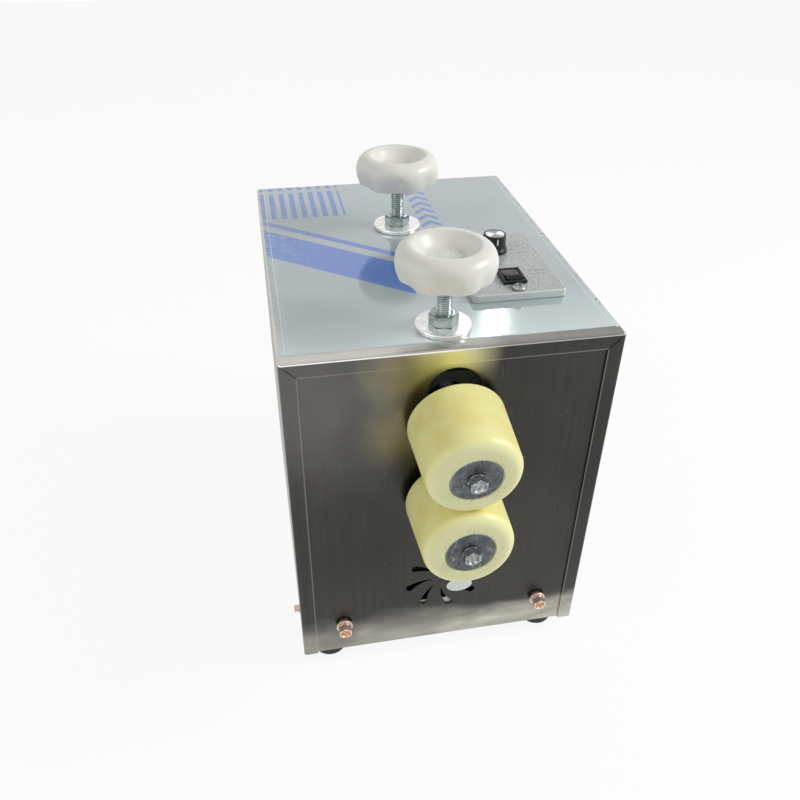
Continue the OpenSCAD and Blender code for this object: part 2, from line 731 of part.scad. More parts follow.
// Half section of a knob: bulged side, rounded rim, dish with a flat middle
function knob_section() = concat([[0, 0]],
    arc([knob_centre_r, knob_bulge_z], knob_bulge_r, knob_base_a, knob_rim_a,
        knob_side_steps),
    [for (i = [1:knob_dish_steps]) let (u = i / knob_dish_steps)
        [knob_rim_r + (knob_flat_r - knob_rim_r) * u,
            knob_h - knob_dish * (1 - cos(180 * pow(u, knob_dish_power))) / 2]],
    [[0, knob_h - knob_dish]]);
module hand_knob(y, lift) in_case() translate([adjuster_x, y, case_h + lift]) difference() {
    rotate_extrude() polygon(knob_section());
    for (i = [0:knob_lobes - 1]) rotate(i * 360 / knob_lobes)
        translate([knob_r + knob_scallop_r - knob_scallop_depth, 0, -cut])
            cylinder(r = knob_scallop_r, h = knob_h + 2 * cut);
    translate([0, 0, -cut]) cylinder(d = rod_d + 2 * fit, h = rod_in_knob + fit + cut);
}
module front_rod() color("silver") adjusting_rod(front_line_y, front_knob_lift);
module front_knob() color("whitesmoke") hand_knob(front_line_y, front_knob_lift);
module rear_rod() color("silver") adjusting_rod(rear_line_y, rear_knob_lift);
module rear_knob() color("whitesmoke") hand_knob(rear_line_y, rear_knob_lift);

// Bearing stands

// A plate with a window for the sliding block, the lower bearing's bore and tapped holes
module stand(y) difference() {
    translate([-stand_w / 2, y - stand_t / 2, sheet_t]) cube([stand_w, stand_t, stand_top - sheet_t]);
    translate([-block_w / 2 - slide_gap, y - stand_t / 2 - cut, upper_axis_z(y) - block_down - spring_h])
        cube([block_w + 2 * slide_gap, stand_t + 2 * cut, case_h]);
    backwards(0, y - stand_t / 2, lower_z) bore(lower_brg_od + 2 * fit, stand_t);
    for (p = tie_places) backwards(p[0], y - stand_t / 2, p[1]) bore(tie_screw_d + 2 * fit, stand_t);
    for (x = [-stand_screw_x, stand_screw_x]) translate([x, y, sheet_t - cut])
        cylinder(d = stand_screw_d + 2 * fit, h = stand_screw_len + cut);
    for (x = [-column_x, column_x]) translate([x, y, stand_top - cap_screw_len])
        cylinder(d = cap_screw_d + 2 * fit, h = cap_screw_len + cut);
}
module front_stand() color("slategray") in_case() difference() {
    stand(front_line_y);
    backwards(0, front_stand_y, motor_z) bore(fan_d + 2 * fan_room, stand_t);
}
module gearhead_bolt_places() for (x = [-1, 1], z = [-1, 1])
    backwards(x * gearhead_bolt_x, rear_stand_y, motor_z + z * gearhead_bolt_x) children();
module rear_stand() color("slategray") in_case() difference() {
    stand(rear_line_y);
    backwards(0, rear_stand_y, output_z) bore(output_boss_d + 2 * output_boss_room, stand_t);
    gearhead_bolt_places() bore(gearhead_bolt_d + 2 * hole_room, stand_t);
}
module cap_screw() {
    translate([0, 0, -cap_screw_head_h])
        cylinder(d1 = cap_screw_d, d2 = cap_screw_head_d, h = cap_screw_head_h);
    translate([0, 0, -cap_screw_len]) cylinder(d = cap_screw_d, h = cap_screw_len);
}
module cap_screw_places() for (x = [-column_x, column_x], y = line_ys)
    translate([x, y, stand_top + cap_t]) children();
module stand_caps() color("slategray") in_case() difference() {
    for (y = line_ys) translate([0, y, stand_top]) centred_box(stand_w, stand_t, cap_t);
    for (y = line_ys) translate([adjuster_x, y, stand_top]) bore(rod_d + 2 * fit, cap_t);
    cap_screw_places() {
        translate([0, 0, -cap_screw_len]) bore(cap_screw_d + 2 * fit, cap_screw_len);
        translate([0, 0, -cap_screw_head_h])
            cylinder(d1 = cap_screw_d + 2 * fit, d2 = cap_screw_head_d + 2 * fit, h = cap_screw_head_h);
    }
}
module cap_screws() color("dimgray") in_case() cap_screw_places() cap_screw();
module stand_screws() color("dimgray") in_case()
    for (x = [-stand_screw_x, stand_screw_x], y = line_ys) translate([x, y, 0]) {
        translate([0, 0, -stand_screw_head_h]) cylinder(d = stand_screw_head_d, h = stand_screw_head_h);
        cylinder(d = stand_screw_d, h = stand_screw_len);
    }
module tie_rods() color("gainsboro") in_case()
    for (p = tie_places) backwards(p[0], front_stand_y + stand_t, p[1]) difference() {
        cylinder(d = tie_d, h = tie_l);
        for (z = [-cut, tie_l - tie_tap]) translate([0, 0, z])
            cylinder(d = tie_screw_d + 2 * fit, h = tie_tap + cut);
    }
module tie_screw() {
    cylinder(d = tie_head_d, h = tie_head_h);
    translate([0, 0, -stand_t - tie_grip]) cylinder(d = tie_screw_d, h = stand_t + tie_grip);
}
module tie_screws() color("dimgray") in_case() for (p = tie_places) {
    forwards(p[0], front_stand_y, p[1]) tie_screw();
    backwards(p[0], rear_stand_y + stand_t, p[1]) tie_screw();
}
module bearing_block(y) difference() {
    in_case() translate([0, y, upper_axis_z(y) - block_down])
        centred_box(block_w, stand_t, block_down + block_up);
    on_upper() translate([0, 0, along_upper(y)]) {
        cylinder(d = upper_brg_od + 2 * fit, h = upper_brg_w, center = true);
        cylinder(d = upper_brg_od - 2 * block_lip, h = 2 * stand_t, center = true);
    }
}
module front_block() color("black") bearing_block(front_line_y);
module rear_block() color("black") bearing_block(rear_line_y);
module ball_bearing(d, od, w) difference() {
    cylinder(d = od, h = w, center = true);
    cylinder(d = d + 2 * fit, h = w + 2 * cut, center = true);
}
module upper_bearings() color("gainsboro") on_upper() for (y = line_ys)
    translate([0, 0, along_upper(y)]) ball_bearing(upper_brg_d, upper_brg_od, upper_brg_w);
module lower_bearings() color("gainsboro") on_lower() for (y = line_ys)
    translate([0, 0, -y]) ball_bearing(lower_brg_d, lower_brg_od, lower_brg_w);

// A lift spring is one round wire swept up a helix
function spring_point(i) = let (u = i / spring_rings)
    concat(polar(spring_mean_r, 360 * spring_turns * u), [spring_wire / 2 + spring_seat + spring_rise * u]);
function spring_ring(i) = let (a = 360 * spring_turns * i / spring_rings, out = concat(polar(1, a), [0]))
    [for (k = [0:spring_sides - 1]) let (b = 360 * k / spring_sides)
        spring_point(i) + spring_wire / 2 * (cos(b) * out + sin(b) * [0, 0, 1])];
spring_gap = min([for (i = [turn_rings:spring_rings]) norm(spring_point(i) - spring_point(i - turn_rings))])
    - spring_wire;
echo(spring_gap = spring_gap);
module lift_spring(y) in_case() translate([0, y, upper_axis_z(y) - block_down - spring_h]) polyhedron(
    points = [for (i = [0:spring_rings]) each spring_ring(i)],
    faces = concat(
        [[for (k = [0:spring_sides - 1]) k]],
        [for (i = [0:spring_rings - 1], k = [0:spring_sides - 1], t = [0, 1]) let (
                a = i * spring_sides + k,
                b = i * spring_sides + (k + 1) % spring_sides
            ) t == 0 ? [a, a + spring_sides, b] : [b, a + spring_sides, b + spring_sides]],
        [[for (k = [spring_sides - 1:-1:0]) spring_rings * spring_sides + k]]));
module front_lift_spring() color("silver") lift_spring(front_line_y);
module rear_lift_spring() color("silver") lift_spring(rear_line_y);

// Rolls

// Half section of a roller: back edge, cone, rounded front edge, washer recess
function cone_r(s) = roller_r - (s - roller_back) * tan(cone_half);
function roller_section() = let (
        edge_s = roller_front - roller_edge_r,
        recess_r = end_washer_d / 2 + recess_room,
        bore_r = nose_d / 2 + fit
    ) concat(
        [[bore_r, roller_back]],
        arc([roller_r - roller_back_r, roller_back + roller_back_r], roller_back_r, -90, cone_half,
            roller_back_steps),
        arc([cone_r(edge_s) - roller_edge_r / cos(cone_half), edge_s], roller_edge_r, cone_half, 90,
            roller_edge_steps),
        [[recess_r, roller_front], [recess_r, roller_front - recess_depth],
            [bore_r, roller_front - recess_depth]]);
module roller() rotate_extrude($fn = 96) polygon(roller_section());
module end_washer() translate([0, 0, bolt_seat - end_washer_t]) difference() {
    cylinder(d = end_washer_d, h = end_washer_t);
    bore(bolt_d + 2 * fit, end_washer_t);
}
module roller_bolt() {
    translate([0, 0, bolt_seat]) cylinder(d = bolt_spring_d, h = bolt_spring_t);
    translate([0, 0, bolt_seat + bolt_spring_t]) hex(bolt_af, bolt_head_h);
    translate([0, 0, bolt_seat - bolt_shank]) cylinder(d = bolt_d, h = bolt_shank);
}
// A shaft: nose in the roller, shoulder behind it, spacer to the first bearing, plain journal to the end
module roll_shaft(journal_d, bearing_s, bearing_w, end) difference() {
    union() {
        translate([0, 0, roller_back]) cylinder(d = nose_d, h = nose_end - roller_back);
        translate([0, 0, shoulder_end]) cylinder(d = shoulder_d, h = roller_back - shoulder_end);
        translate([0, 0, bearing_s + bearing_w / 2 + fit])
            cylinder(d = journal_d + spacer_rim, h = shoulder_end - bearing_s - bearing_w / 2 - fit);
        translate([0, 0, end]) cylinder(d = journal_d, h = shoulder_end - end);
    }
    translate([0, 0, nose_end - bolt_shank]) cylinder(d = bolt_d + 2 * fit, h = bolt_shank + cut);
}
module upper_shaft() color("lightgray") on_upper() roll_shaft(upper_brg_d, along_upper(front_line_y),
    upper_brg_w, along_upper(rear_line_y + stand_t / 2 + shaft_past));
module upper_roller() color("khaki") on_upper() roller();
module upper_washer() color("dimgray") on_upper() end_washer();
module upper_bolt() color("silver") on_upper() roller_bolt();
// The upper gear has a gap where the lower one has a tooth
module upper_gear() color("goldenrod") on_upper() translate([0, 0, along_upper(sync_y) - sync_face / 2])
    spur_gear(sync_teeth, sync_pitch_r, 270 + 180 / sync_teeth, sync_face, upper_brg_d + 2 * fit);
module lower_shaft() color("lightgray") on_lower() roll_shaft(lower_brg_d, -front_line_y, lower_brg_w,
    -drive_y - drive_face - shaft_past);
module lower_roller() color("khaki") on_lower() roller();
module lower_washer() color("dimgray") on_lower() end_washer();
module lower_bolt() color("silver") on_lower() roller_bolt();
module lower_gear() color("goldenrod") on_lower() translate([0, 0, -sync_y - sync_face / 2])
    spur_gear(sync_teeth, sync_pitch_r, 90, sync_face, lower_brg_d + 2 * fit);

// Drive

module drive_gear() color("goldenrod") on_lower() translate([0, 0, -drive_y - drive_face])
    spur_gear(drive_teeth, drive_teeth * drive_module / 2, 270, drive_face, lower_brg_d + 2 * fit);
module drive_pinion() color("goldenrod") in_case() forwards(0, drive_y + drive_face, output_z)
    spur_gear(pinion_teeth, pinion_teeth * drive_module / 2, 90 + 180 / pinion_teeth, drive_face,
        output_d + 2 * fit);
module output_shaft() color("lightgray") in_case() backwards(0, rear_stand_y - output_depth, output_z)
    cylinder(d = output_d, h = output_depth + stand_t + drive_room + drive_face);
module gearhead() color("slategray") in_case() difference() {
    union() {
        translate([-gearhead_w / 2, gearhead_y, motor_z - gearhead_w / 2])
            cube([gearhead_w, gearhead_len, gearhead_w]);
        backwards(0, rear_stand_y, output_z) cylinder(d = output_boss_d, h = output_boss_l);
    }
    backwards(0, rear_stand_y - output_depth, output_z)
        cylinder(d = output_d + 2 * fit, h = output_depth + stand_t);
    gearhead_bolt_places() translate([0, 0, -gearhead_bolt_grip])
        cylinder(d = gearhead_bolt_d + 2 * fit, h = gearhead_bolt_grip + cut);
}
module motor_bolts() color("dimgray") in_case() gearhead_bolt_places() {
    translate([0, 0, stand_t]) cylinder(d = gearhead_bolt_head_d, h = gearhead_bolt_head_h);
    translate([0, 0, -gearhead_bolt_grip]) cylinder(d = gearhead_bolt_d, h = stand_t + gearhead_bolt_grip);
}
module motor() color("darkslategray") in_case() backwards(0, motor_y, motor_z) difference() {
    union() {
        cylinder(d1 = bell_d, d2 = motor_d, h = bell_l);
        translate([0, 0, bell_l]) cylinder(d = motor_d, h = motor_len - bell_l);
    }
    translate([0, 0, -cut]) cylinder(d = fan_shaft_d + 2 * fit, h = tail_depth + cut);
}
module fan_shaft() color("lightgray") in_case() backwards(0, fan_y, motor_z)
    cylinder(d = fan_shaft_d, h = motor_y + tail_depth - fan_y);
module cooling_fan() color("black") in_case() backwards(0, fan_y, motor_z) difference() {
    union() {
        cylinder(d = fan_hub_d, h = fan_t);
        intersection() {
            cylinder(d = fan_d, h = fan_t);
            for (i = [0:fan_blades - 1]) rotate(i * 360 / fan_blades) translate([0, 0, fan_t / 2])
                rotate([fan_blade_pitch, 0, 0]) translate([fan_hub_d / 4, -fan_t, -fan_blade_t / 2])
                    cube([fan_d, 2 * fan_t, fan_blade_t]);
        }
    }
    bore(fan_shaft_d + 2 * fit, fan_t);
}
module capacitor() color("ivory") in_case() translate([capacitor_x, capacitor_y, sheet_t]) {
    cylinder(d = capacitor_d, h = capacitor_h);
    for (x = [-capacitor_pin, capacitor_pin]) translate([x, 0, capacitor_h])
        centred_box(capacitor_tab_t, capacitor_pin, 2 * capacitor_pin);
}

cover();
front_panel();
rear_panel();
base_tray();
top_film();
rubber_feet();
foot_screws();
foot_nuts();
panel_screws();
side_screws();
cable_gland();
gland_nut();
control_plate();
plate_screws();
switch_body();
rocker();
speed_controller();
speed_pot();
speed_knob();
knob_cap();
top_washers();
lock_nuts();
front_rod();
front_knob();
rear_rod();
rear_knob();
front_stand();
rear_stand();
stand_caps();
cap_screws();
stand_screws();
tie_rods();
tie_screws();
front_block();
rear_block();
upper_bearings();
lower_bearings();
front_lift_spring();
rear_lift_spring();
upper_shaft();
upper_roller();
upper_washer();
upper_bolt();
upper_gear();
lower_shaft();
lower_roller();
lower_washer();
lower_bolt();
lower_gear();
drive_gear();
drive_pinion();
motor();
gearhead();
motor_bolts();
output_shaft();
fan_shaft();
cooling_fan();
capacitor();
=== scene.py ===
"""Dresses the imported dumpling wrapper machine: folded steel case, rollers, adjusters, controls and a stage.

Shapes are worked out in millimetres and written to the meshes in metres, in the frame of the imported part.
"""

import json
import math
from functools import partial

import bmesh
import bpy
import numpy as np
from bpy.props import FloatProperty, FloatVectorProperty, IntProperty, PointerProperty
from bpy.types import Node, NodeSocket, Operator, Panel, PropertyGroup
from mathutils import Matrix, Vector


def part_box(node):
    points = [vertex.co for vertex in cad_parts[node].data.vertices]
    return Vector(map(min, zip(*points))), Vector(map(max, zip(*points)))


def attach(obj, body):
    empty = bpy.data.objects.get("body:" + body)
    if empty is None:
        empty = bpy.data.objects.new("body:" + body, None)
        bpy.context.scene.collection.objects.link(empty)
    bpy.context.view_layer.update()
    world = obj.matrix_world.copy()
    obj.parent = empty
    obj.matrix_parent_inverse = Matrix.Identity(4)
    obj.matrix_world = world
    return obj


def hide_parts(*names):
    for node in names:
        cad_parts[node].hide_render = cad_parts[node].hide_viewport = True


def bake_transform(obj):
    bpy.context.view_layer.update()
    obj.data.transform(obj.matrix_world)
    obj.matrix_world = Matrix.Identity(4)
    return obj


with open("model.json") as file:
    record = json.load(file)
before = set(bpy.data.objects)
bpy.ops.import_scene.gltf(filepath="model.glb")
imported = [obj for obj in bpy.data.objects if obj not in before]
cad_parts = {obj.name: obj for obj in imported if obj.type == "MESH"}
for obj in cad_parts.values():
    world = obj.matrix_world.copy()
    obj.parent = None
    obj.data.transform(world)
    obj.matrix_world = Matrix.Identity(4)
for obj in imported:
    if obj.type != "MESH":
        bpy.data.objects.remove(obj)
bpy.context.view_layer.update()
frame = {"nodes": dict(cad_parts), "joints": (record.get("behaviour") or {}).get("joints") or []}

bl_info = {
    "name": "Dumpling wrapper machine",
    "version": (1, 0, 0),
    "blender": (4, 5, 0),
    "location": "View3D > Sidebar > Wrapper",
    "description": "Dresses the packed wrapper machine piece by piece and sets its stage",
    "category": "Add Mesh",
}

MM = 0.001
# Points closer than this, in metres, are one point
WELD = 2e-6
FULL_TURN = 2 * math.pi
QUARTER = math.pi / 2
UP = np.array([0.0, 0.0, 1.0])
ENDS = ("front", "rear")
JOINTS = {joint["name"]: joint for joint in frame["joints"]}

# Sizes of the CAD's solids that their boxes don't tell, in millimetres
FOOT_RADIUS = 15.5
FOOT_BORE = 2.6
PANEL_COLLAR = 2.0
ROLLER_BORE = 8.05
BOLT_FLATS = 10.0
BOLT_COIL = 1.5
NUT_FLATS = 16.0
NUT_TURN = math.radians(18)
KNOB_BORE = 5.1
PAN_RADIUS = 4.6
BUSH_RADIUS = 3.75
SWITCH_LIP = 0.9
ROCKER_RADIUS = 7.6
ROCKER_LEAN = math.radians(-12)
GLAND_FLATS = 22.0
GLAND_FLANGE = 6.0
GLAND_THREAD = 8.0
GLAND_BORE = 3.5
GLAND_TAIL = -13.0
# Radius of the flat middle of a hand knob's dish
KNOB_FLAT = 11.6
# Distance of the film's two creases from the middle
CREASES = (99.6, 97.4)
# Sizes of a combination screw as shares of its thread; the stack is washer, spring washer and head
WASHER_SHARE = 1.1
COLLAR_SHARE = 0.8
BORE_SHARE = 0.54
STACK_SHARES = np.array([0.22, 0.33, 0.84])


def linear(code):
    """An sRGB hex colour as linear red, green, blue and alpha."""
    part = np.array([int(code[i:i + 2], 16) for i in (1, 3, 5)]) / 255
    part = np.where(part <= 0.04045, part / 12.92, ((part + 0.055) / 1.055) ** 2.4)
    return (*part.tolist(), 1.0)


def length(name, description, size):
    """A length property that is shown in scene units, given in millimetres."""
    return FloatProperty(name=name, description=description, default=size * MM, min=0, unit="LENGTH")


def colour(name, description, code):
    """A colour property, given as sRGB hex."""
    return FloatVectorProperty(name=name, description=description, default=linear(code), size=4,
                               min=0, max=1, subtype="COLOR")


def corners_of(node):
    """Lowest and highest corner of a CAD node, in millimetres."""
    return [np.array(corner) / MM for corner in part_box(node)]


def spindle(joint):
    """A joint's point in millimetres and its direction."""
    return np.array(JOINTS[joint]["pos_m"]) / MM, np.array(JOINTS[joint]["axis"], float)


def at_height(place, z):
    """A place's x and y at another height."""
    return np.array([place[0], place[1], z])


CASE_LO, CASE_HI = corners_of("cover")
PANEL_FACE = corners_of("front_panel")[0][1]
REAR_FACE = corners_of("rear_panel")[1][1]
SHEET = PANEL_FACE - CASE_LO[1]


# Settings


class CaseSettings(PropertyGroup):
    """Sizes and colours of the case"""
    fold: length("Fold radius", "Outer radius of the folds of the cover", 2.0)
    flange: length("Flange", "Width of the return flanges", 10.5)
    mitre: length("Mitre gap", "Half gap where two flanges meet", 0.35)
    # The front's streak colours are painted dark, a painted reflection of a dark room; the sides' are painted
    # paler
    steel_dark: colour("Steel, dark", "Dark streaks of the brushed steel", "#403f3d")
    steel_light: colour("Steel, light", "Light streaks of the brushed steel", "#474643")
    side_dark: colour("Sides, dark", "Dark streaks of the sides and the rear", "#62615f")
    side_light: colour("Sides, light", "Light streaks of the sides and the rear", "#6e6d6a")
    # A painted reflection of the floor: the pale band at the foot of the front and the sides
    steel_floor_reflection: colour("Steel, bright", "Wiped bright band at the foot of the front", "#cbc9bd")
    film: colour("Film", "Protective film on the top", "#acb7bb")
    film_print: colour("Film print", "Printed pattern on the film", "#4d78c8")
    copper: colour("Copper", "Copper-coloured plating of the case screws", "#f2ddd3")
    rubber: colour("Rubber", "Moulded feet", "#1d1e20")
    sticker: colour("Sticker", "Blank oval sticker", "#eceff2")


class RollerSettings(PropertyGroup):
    """Sizes and colours of the rolling head"""
    back_edge: length("Back edge", "Rounding of a roller's back edge", 1.5)
    front_edge: length("Front edge", "Rounding of a roller's front edge", 7.0)
    nylon: colour("Nylon", "Cast nylon of the rollers", "#f3efa8")
    nylon_amber: colour("Nylon, amber", "Aged patches of the rollers", "#ecd97c")
    washer: colour("End washer", "Phosphated steel of the end washers", "#686e73")
    bolt: colour("Bolt", "Plated steel of the roller bolts", "#b4b6b4")


class AdjusterSettings(PropertyGroup):
    """Sizes and colours of the two adjusters"""
    pitch: length("Pitch", "Pitch of the adjusting rod's thread", 1.5)
    thread: length("Thread depth", "Depth of the thread", 0.85)
    lobes: IntProperty(name="Lobes", description="Soft scallops round a hand knob", default=7, min=3)
    scallop: length("Scallop", "Depth of a hand knob's scallops", 2.3)
    dish: length("Dish", "Depth of a hand knob's dish", 8.0)
    knob: colour("Knob", "White nylon of the hand knobs", "#e8e7df")
    zinc: colour("Zinc", "Bright zinc of the wide washers", "#f6f7f4")


class ControlSettings(PropertyGroup):
    """Sizes and colours of the control plate"""
    plate_edge: length("Plate edge", "Rounding of the plate's upper edge", 1.0)
    flutes: IntProperty(name="Flutes", description="Flutes round the speed knob", default=18, min=6)
    flute: length("Flute", "Depth of a flute", 0.7)
    paint: colour("Paint", "Hammered silver paint of the control plate", "#b4bab8")
    plastic: colour("Plastic", "Black plastic of the switch and the speed knob", "#151518")
    cap: colour("Cap", "Turned aluminium cap of the speed knob", "#d8dbda")


class StageSettings(PropertyGroup):
    """Floor, light and camera"""
    floor: colour("Floor", "Pale floor", "#f8f8f7")
    key: FloatProperty(name="Key light", description="Soft light from the right", default=15, unit="POWER")
    fill: FloatProperty(name="Fill light", description="Wide light from the left", default=4.5, unit="POWER")
    lamp: FloatProperty(name="Lamp", description="Small lamp behind the case", default=0.22, unit="POWER")
    sky: FloatProperty(name="Sky", description="Light from all round", default=0.38, min=0, max=1)
    lens: FloatProperty(name="Lens", description="Focal length", default=35.55, unit="CAMERA")


SETTINGS = {"wrapper_case": CaseSettings, "wrapper_rollers": RollerSettings,
            "wrapper_adjusters": AdjusterSettings, "wrapper_controls": ControlSettings,
            "wrapper_stage": StageSettings}


# Surfaces


def smooth(value, low, high):
    """A smooth step: 0 below low, 1 above high, with an even S between them."""
    share = np.clip((value - low) / (high - low), 0, 1)
    return share * share * (3 - 2 * share)


def fillet(corners, steps=5):
    """Profile through corners (a, b) or (a, b, radius).

    An inner corner that has a radius is the arc tangent to its two sides.
    """
    corners = np.array([(*corner, 0)[:3] for corner in corners], float)
    parts = [corners[:1, :2]]
    for before, here, after in zip(corners[:-2], corners[1:-1], corners[2:]):
        point, radius = here[:2], here[2]
        if radius == 0:
            parts.append(point[None])
            continue
        sides = np.stack([before[:2] - point, after[:2] - point])
        sides /= np.linalg.norm(sides, axis=1)[:, None]
        half = math.acos(np.clip(sides[0] @ sides[1], -1, 1)) / 2
        middle = sides.sum(0) / np.linalg.norm(sides.sum(0)) * radius / math.sin(half)
        spokes = sides * radius / math.tan(half) - middle
        share = np.linspace(0, 1, steps + 1)[:, None]
        sweep = math.pi - 2 * half
        arc = np.sin((1 - share) * sweep) * spokes[0] + np.sin(share * sweep) * spokes[1]
        parts.append(point + middle + arc / math.sin(sweep))
    return np.vstack(parts + [corners[-1:, :2]])


def turned(angle, radius, height):
    """Radius and height, each a row per angle, carried round the axis: (r cos a, r sin a, z)."""
    angle, radius, height = np.broadcast_arrays(angle, radius, height)
    return np.stack([radius * np.cos(angle), radius * np.sin(angle), height], -1)


def lathe(corners, segments=96, steps=5):
    """A filleted profile of radius and height carried one full turn round the axis."""
    profile = fillet(corners, steps)
    angle = np.linspace(0, FULL_TURN, segments + 1)[:, None]
    return turned(angle, profile[:, 0], profile[:, 1])


def pin(radius, low, high, segments):
    """A plain closed cylinder between two heights."""
    return lathe([(0, low), (radius, low), (radius, high), (0, high)], segments)


def hexagon(flats, rows, turn=0.0, steps=8):
    """A hexagon carried through rows (share, height, slope), the share being of the way out to its side.

    The side lies at flats / 2 / cos(angle from the middle of the flat), and the slope lowers a point by
    30 degrees for what it stands out beyond the chamfer's circle.
    """
    angle = turn + np.linspace(0, FULL_TURN, 6 * steps + 1)[:, None]
    from_flat = (angle - turn + math.pi / 6) % (math.pi / 3) - math.pi / 6
    side = flats / 2 / np.cos(from_flat)
    circle = 0.985 * flats / 2
    share, height, slope = np.array(rows, float).T
    radius = np.where(slope == 0, share * circle, side)
    return turned(angle, radius, height - slope * (side - circle) * math.tan(math.pi / 6))


def nut(flats, height, bore, turn, sink=0.7):
    """A hexagon nut: chamfered at both ends, with a bore that is sunk at both ends."""
    inner = bore / flats
    rim = inner + 0.08
    rows = [(inner, sink, 0), (rim, 0, 0), (1, 0, 0), (1, 0, -1), (1, height, 1), (1, height, 0),
            (rim, height, 0), (inner, height - sink, 0), (inner, sink, 0)]
    return hexagon(flats, rows, turn)


def hex_head(flats, height, dish, dish_share):
    """A bolt head: chamfered hexagon with a dished top."""
    rows = [(0, 0, 0), (0.98, 0, 0), (1, 0.05, -1), (1, height, 1), (1, height, 0), (dish_share, height, 0),
            (dish_share - 0.12, height - 0.75 * dish, 0), (dish_share - 0.3, height - dish, 0),
            (0, height - dish, 0)]
    return hexagon(flats, rows)


def outline(width, depth, radius, steps=6):
    """Closed rectangle whose corners are quarter circles, anticlockwise."""
    turn = np.linspace(0, QUARTER, steps + 1)
    signs = np.array([(1, 1), (-1, 1), (-1, -1), (1, -1)])
    angle = turn[None] + QUARTER * np.arange(4)[:, None]
    middle = signs * (np.array([width, depth]) / 2 - radius)
    points = middle[:, None] + radius * np.stack([np.cos(angle), np.sin(angle)], -1)
    points = points.reshape(-1, 2)
    return np.vstack([points, points[:1]])


def raised(width, depth, radius, rows, least=0.05):
    """A rounded rectangle carried through rows (inset, height); an inset of None is its middle point."""
    rings = []
    for inset, height in rows:
        flat = (outline(least, least, least / 2) * 0 if inset is None else
                outline(width - 2 * inset, depth - 2 * inset, max(radius - inset, least)))
        rings.append(np.column_stack([flat, np.full(len(flat), height)]))
    return np.stack(rings)


def bar(width, depth, radius, low, high):
    """A plain closed block between two heights, with rounded upright edges."""
    return raised(width, depth, radius, [(None, low), (0, low), (0, high), (None, high)])


def tube(centre, out, up, section):
    """A flat section carried along a path, its ends closed by rings that are drawn in to the path."""
    rings = centre[:, None] + section[None, :, :1] * out[:, None] + section[None, :, 1:] * up[:, None]
    ends = np.repeat(centre[[0, -1]][:, None], len(section), 1)
    return np.concatenate([ends[:1], rings, ends[1:]])


def ring_path(radius, angle, height):
    """Points, outward and upward directions of a path that climbs round the axis."""
    out = np.stack([np.cos(angle), np.sin(angle), 0 * angle], -1)
    centre = radius * out + np.stack([0 * angle, 0 * angle, height], -1)
    return centre, out, np.broadcast_to(UP, out.shape)


def spring_washer(outer, inner, height, lift, gap=0.09):
    """A split ring of rectangular wire that climbs a little from one end to the other."""
    angle = np.linspace(gap, FULL_TURN - gap, 65)
    thick = height - lift
    path = ring_path((outer + inner) / 2, angle, thick / 2 + lift * angle / FULL_TURN)
    return tube(*path, outline(outer - inner, thick, 0.2, 3))


def cross_head(radius, edge, height, reach=0.66, width=0.26, depth=1.5):
    """A pan head with a cross sunk in it.

    The height is a dome less a trough, which is deep where the smaller of |x| and |y| is within the
    cross's half width and the larger is within its reach.
    """
    angle = np.linspace(0, FULL_TURN, 145)[:, None]
    share = np.concatenate([[0, 0], np.linspace(0.02, 1, 34)])
    near, far = np.abs(np.cos(angle)) * share, np.abs(np.sin(angle)) * share
    near, far = np.minimum(near, far), np.maximum(near, far)
    dome = edge + (height - edge) * np.sqrt(1 - 0.98 * share ** 2)
    trough = depth * (1 - smooth(near, 0.5 * width, 0.75 * width)) * (1 - smooth(far, 0.7 * reach, reach))
    top = turned(angle, radius * share, dome - trough)
    skirt = turned(angle, np.array([radius, radius * 0.97, 0.0]), np.array([edge, 0.0, 0.0]))
    return [top, np.concatenate([top[:, -1:], skirt], 1)]


def placed(points, origin, axis=UP):
    """Local x, y and z laid on a right, an up and an axis direction from an origin."""
    axis = np.asarray(axis, float) / np.linalg.norm(axis)
    side = np.array([0.0, 1.0, 0.0]) if abs(axis[0]) > 0.9 else np.array([1.0, 0.0, 0.0])
    right = side - (side @ axis) * axis
    right /= np.linalg.norm(right)
    return np.asarray(origin) + points @ np.stack([right, np.cross(axis, right), axis])


# Meshes and pieces


def mesh_of(name, grids, tones=None):
    """One mesh from grids of points: every four neighbours make a face, unless one of them is missing.

    The UV map holds the two grid parameters, 0 to 1. Seams and poles are closed by merging, and the
    faces are then turned outwards.
    """
    points, faces, places, tone = [], [], [], []
    count = 0
    for number, grid in enumerate(grids):
        rows, columns = grid.shape[:2]
        index = np.arange(rows * columns).reshape(rows, columns)
        quads = np.stack([index[:-1, :-1], index[:-1, 1:], index[1:, 1:], index[1:, :-1]], -1).reshape(-1, 4)
        flat = grid.reshape(-1, 3)
        quads = quads[~np.isnan(flat[quads]).any((1, 2))]
        share = np.meshgrid(np.linspace(0, 1, rows), np.linspace(0, 1, columns), indexing="ij")
        points.append(np.nan_to_num(flat))
        places.append(np.stack(share, -1).reshape(-1, 2)[quads].reshape(-1, 2))
        faces.append(quads + count)
        tone.append(np.full(len(quads), tones[number] if tones else 0))
        count += len(flat)
    faces = np.vstack(faces)
    if len(faces) == 0:
        raise RuntimeError(f"{name} has no faces")
    mesh = bpy.data.meshes.new(name)
    mesh.from_pydata((np.vstack(points) * MM).tolist(), [], faces.tolist())
    mesh.uv_layers.new(name="grid").data.foreach_set("uv", np.vstack(places).ravel())
    mesh.polygons.foreach_set("material_index", np.concatenate(tone))
    return tidied(mesh)


def tidied(mesh, flat_angle=None):
    """Merges a mesh's doubles, drops loose points, turns faces outwards and joins level ones if asked."""
    work = bmesh.new()
    work.from_mesh(mesh)
    bmesh.ops.remove_doubles(work, verts=work.verts, dist=WELD)
    bmesh.ops.delete(work, geom=[v for v in work.verts if not v.link_faces], context="VERTS")
    if flat_angle:
        bmesh.ops.dissolve_limit(work, angle_limit=flat_angle, verts=work.verts, edges=work.edges)
    bmesh.ops.recalc_face_normals(work, faces=work.faces)
    work.to_mesh(mesh)
    work.free()
    return mesh


